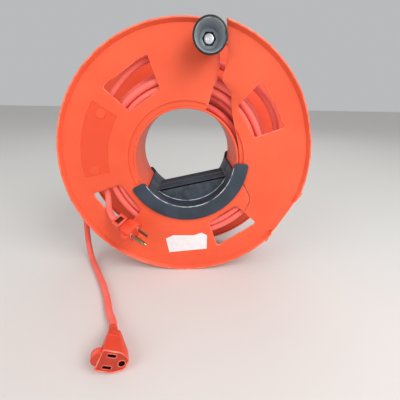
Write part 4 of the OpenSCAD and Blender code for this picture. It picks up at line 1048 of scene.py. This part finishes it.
class CORDREEL_OT_flanges(Operator):
    """Adds the two moulded flanges and the hub tube."""

    bl_idname = "cord_reel.flanges"
    bl_label = "Flanges and hub"

    def execute(self, context):
        """The rear flange is the plain plate, mirrored to the other end of the reel."""
        sizes = context.scene.cord_reel_sizes
        plastic = paint("polypropylene")
        points, faces, rub, tone = flange_plate(True, sizes.bend / MM)
        boss, boss_faces = lathe(BOLT_BOSS, 48)
        boss = boss + around(KNOB_ARM, KNOB_BEARING, 0.0)
        shell = join((spring_flap(points, sizes.flap_lift / MM), faces), (boss, boss_faces))
        plain = np.zeros(len(boss))
        piece("front_flange_shell", shell, plastic, "reel", "reel_plastic", ("front_flange",),
              rub=np.append(rub, plain), tone=np.append(tone, plain))
        points, faces, rub, tone = flange_plate(False, sizes.bend / MM)
        points[:, 1] = REEL_W - points[:, 1]
        piece("rear_flange_shell", (points, faces), plastic, "reel", "reel_plastic", ("rear_flange",),
              rub=rub, tone=tone)
        wall = rounded(rectangle(HUB_BORE_R, HUB_R, HUB_END, REEL_W - HUB_END), HUB_EDGE)
        front_y, rear_y = SPIGOT_Y, REEL_W - SPIGOT_Y - COLLAR_T
        front_ring, rear_ring = (rounded(rectangle(HUB_R - 1, COLLAR_R, y, y + COLLAR_T), STEP)
                                 for y in (front_y, rear_y))
        # The front collar stops at the slot
        way = np.linspace(SLOT_HUB[1], SLIT_FROM + 360, 140)[:, None]
        front_collar = closed(around(front_ring[None, :, 0], way, front_ring[None, :, 1]))
        hub = join(lathe(wall, 180, True), front_collar, lathe(rear_ring, 180, True))
        piece("hub_sleeve", hub, plastic, "reel", "reel_plastic", ("hub_tube",))
        return {"FINISHED"}


class CORDREEL_OT_winding(Operator):
    """Adds the cord wound between the flanges: front turns, outer turns and inner turns."""

    bl_idname = "cord_reel.winding"
    bl_label = "Wound cord"

    def execute(self, context):
        """The front and the outer turns run on straight, by one diameter, into the free ends."""
        d = context.scene.cord_reel_sizes.cord_d / MM
        cord_piece("front_winding", straight_ends(*front_line(4.0), d), BACK, "cord_front_turns")
        cord_piece("outer_winding", straight_ends(*outer_line(4.0), d), BACK, "cord_outer_turns")
        bearing, r, y = inner_line(7.5)
        cord_piece("inner_winding", around(r, bearing, y), BACK, "cord_core", 10)
        return {"FINISHED"}


class CORDREEL_OT_handle(Operator):
    """Adds the handle that rides round the hand hole."""

    bl_idname = "cord_reel.handle"
    bl_label = "Handle"

    def execute(self, context):
        """The rear half is the front half, mirrored in the reel's middle plane."""
        nylon = paint("nylon")
        (points, faces), edge_wear_and_highlight = handle_half()
        piece("handle_front_half", (points, faces), nylon, "handle", "handle_plastic", ("handle_front",),
              **edge_wear_and_highlight)
        points = points * [1, -1, 1] + [0, REEL_W, 0]
        piece("handle_rear_half", (points, faces), nylon, "handle", "handle_plastic", ("handle_rear",),
              **edge_wear_and_highlight)
        dress(paint("zinc"), "handle_screws")
        return {"FINISHED"}


class CORDREEL_OT_knob(Operator):
    """Adds the crank knob with its bolt, washers and nut."""

    bl_idname = "cord_reel.knob"
    bl_label = "Crank knob"

    def execute(self, context):
        """The knob is a turned profile that ends in a six-sided well. At bearing b the well's radius is
        WELL_R / cos(b mod 60 - 30)."""
        centre = around(KNOB_ARM, KNOB_BEARING, 0.0)
        profile = np.vstack([KNOB_BASE, smooth(KNOB_SIDE, 4)[1:], smooth(KNOB_CUP, 4)[1:]])
        angle = np.arange(96) * 360 / 96
        turning = around(profile[:, 0, None], angle[None], profile[:, 1, None])
        six = WELL_R / np.cos(np.radians(angle % 60 - 30))
        hole = np.full(len(angle), KNOB_BASE[0][0])
        well = around(np.stack([six + 0.4, six, six, hole]), angle, np.array(WELL_DEPTHS)[:, None])
        loop = np.concatenate([turning, well])
        depth = loop[..., 1].ravel()
        cup = np.repeat(np.arange(len(loop)) > np.argmin(profile[:, 1]), len(angle))
        points, faces = grid(loop, True)
        # A painted sheen greys the cup, a pale line on its lip is rubbed wear and a painted highlight, and
        # painted shade fills the well round the bolt
        piece("knob_shell", (points + centre, faces), paint("knob"), "knob", "knob_plastic",
              ("spin_knob",), tone=cup & (depth > KNOB_LIP + LIP_BAND) & (depth < WELL_TOP - 0.1),
              rub=cup & (np.abs(depth - KNOB_LIP) < LIP_BAND), well=0.95 * (cup & (depth > WELL_TOP)))
        points, faces = lathe(BOLT_PROFILE, 48)
        piece("bolt_turned", (points + centre, faces), paint("zinc"), "reel", "screw_steel",
              ("knob_bolt",))
        dress(paint("zinc"), "knob_washer", "knob_back_washer", "knob_nut")
        return {"FINISHED"}


class CORDREEL_OT_tape(Operator):
    """Adds the torn strip of paper tape."""

    bl_idname = "cord_reel.tape"
    bl_label = "Paper tape"

    def execute(self, context):
        """The tape is a thin plate that follows the face, crinkled and curled at its ends."""
        curl = context.scene.cord_reel_sizes.tape_curl / MM
        outline = dense(TAPE, 1.2)
        middle = np.mean(TAPE, 0)

        def front(p):
            """The lift off the face, the curl times s^2, with s from 0 to 1 near the ends, and waves of
            1 + sin(x / WAVE_X + z / WAVE_Z)."""
            s = ramp(np.abs(p[:, 0] - middle[0]) / TAPE_HALF, CURL_FROM, 1.0)
            waves = WAVE * (1 + np.sin(p[:, 0] / WAVE_X + p[:, 1] / WAVE_Z))
            return FACE_Y - TAPE_LIFT - curl * s**2 - waves

        shell = plate([outline], outline, front, lambda p: front(p) + TAPE_T, 2.0, 0.05)
        piece("tape_strip", shell, paint("paper"), "reel", "paper", ("paper_tape",))
        return {"FINISHED"}


OPERATORS = (CORDREEL_OT_stage, CORDREEL_OT_cords, CORDREEL_OT_flanges, CORDREEL_OT_winding,
             CORDREEL_OT_handle, CORDREEL_OT_knob, CORDREEL_OT_tape)


class CORDREEL_PT_panel(Panel):
    """Lists the reel's pieces, sizes and colours."""

    bl_idname = "CORDREEL_PT_panel"
    bl_label = "Cord Reel"
    bl_space_type = "VIEW_3D"
    bl_region_type = "UI"
    bl_category = "Cord Reel"

    def draw(self, context):
        """One button for each operator, then every setting."""
        column = self.layout.column()
        for operator in OPERATORS:
            column.operator(operator.bl_idname)
        for group in (context.scene.cord_reel_sizes, context.scene.cord_reel_colours):
            for key in group.__annotations__:
                column.prop(group, key)


CLASSES = (CordReelSizes, CordReelColours, *OPERATORS, CORDREEL_PT_panel)


def register():
    """Registers the classes and puts the settings on the scene."""
    for c in CLASSES:
        bpy.utils.register_class(c)
    bpy.types.Scene.cord_reel_sizes = PointerProperty(type=CordReelSizes)
    bpy.types.Scene.cord_reel_colours = PointerProperty(type=CordReelColours)


def unregister():
    """Takes the settings off the scene and the classes out."""
    del bpy.types.Scene.cord_reel_colours
    del bpy.types.Scene.cord_reel_sizes
    for c in reversed(CLASSES):
        bpy.utils.unregister_class(c)


def main():
    """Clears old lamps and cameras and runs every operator."""
    register()
    for old in [o for o in bpy.data.objects if o.type in {"LIGHT", "CAMERA"}]:
        bpy.data.objects.remove(old)
    for operator in OPERATORS:
        group, name = operator.bl_idname.split(".")
        getattr(getattr(bpy.ops, group), name)()


if __name__ == "__main__":
    main()
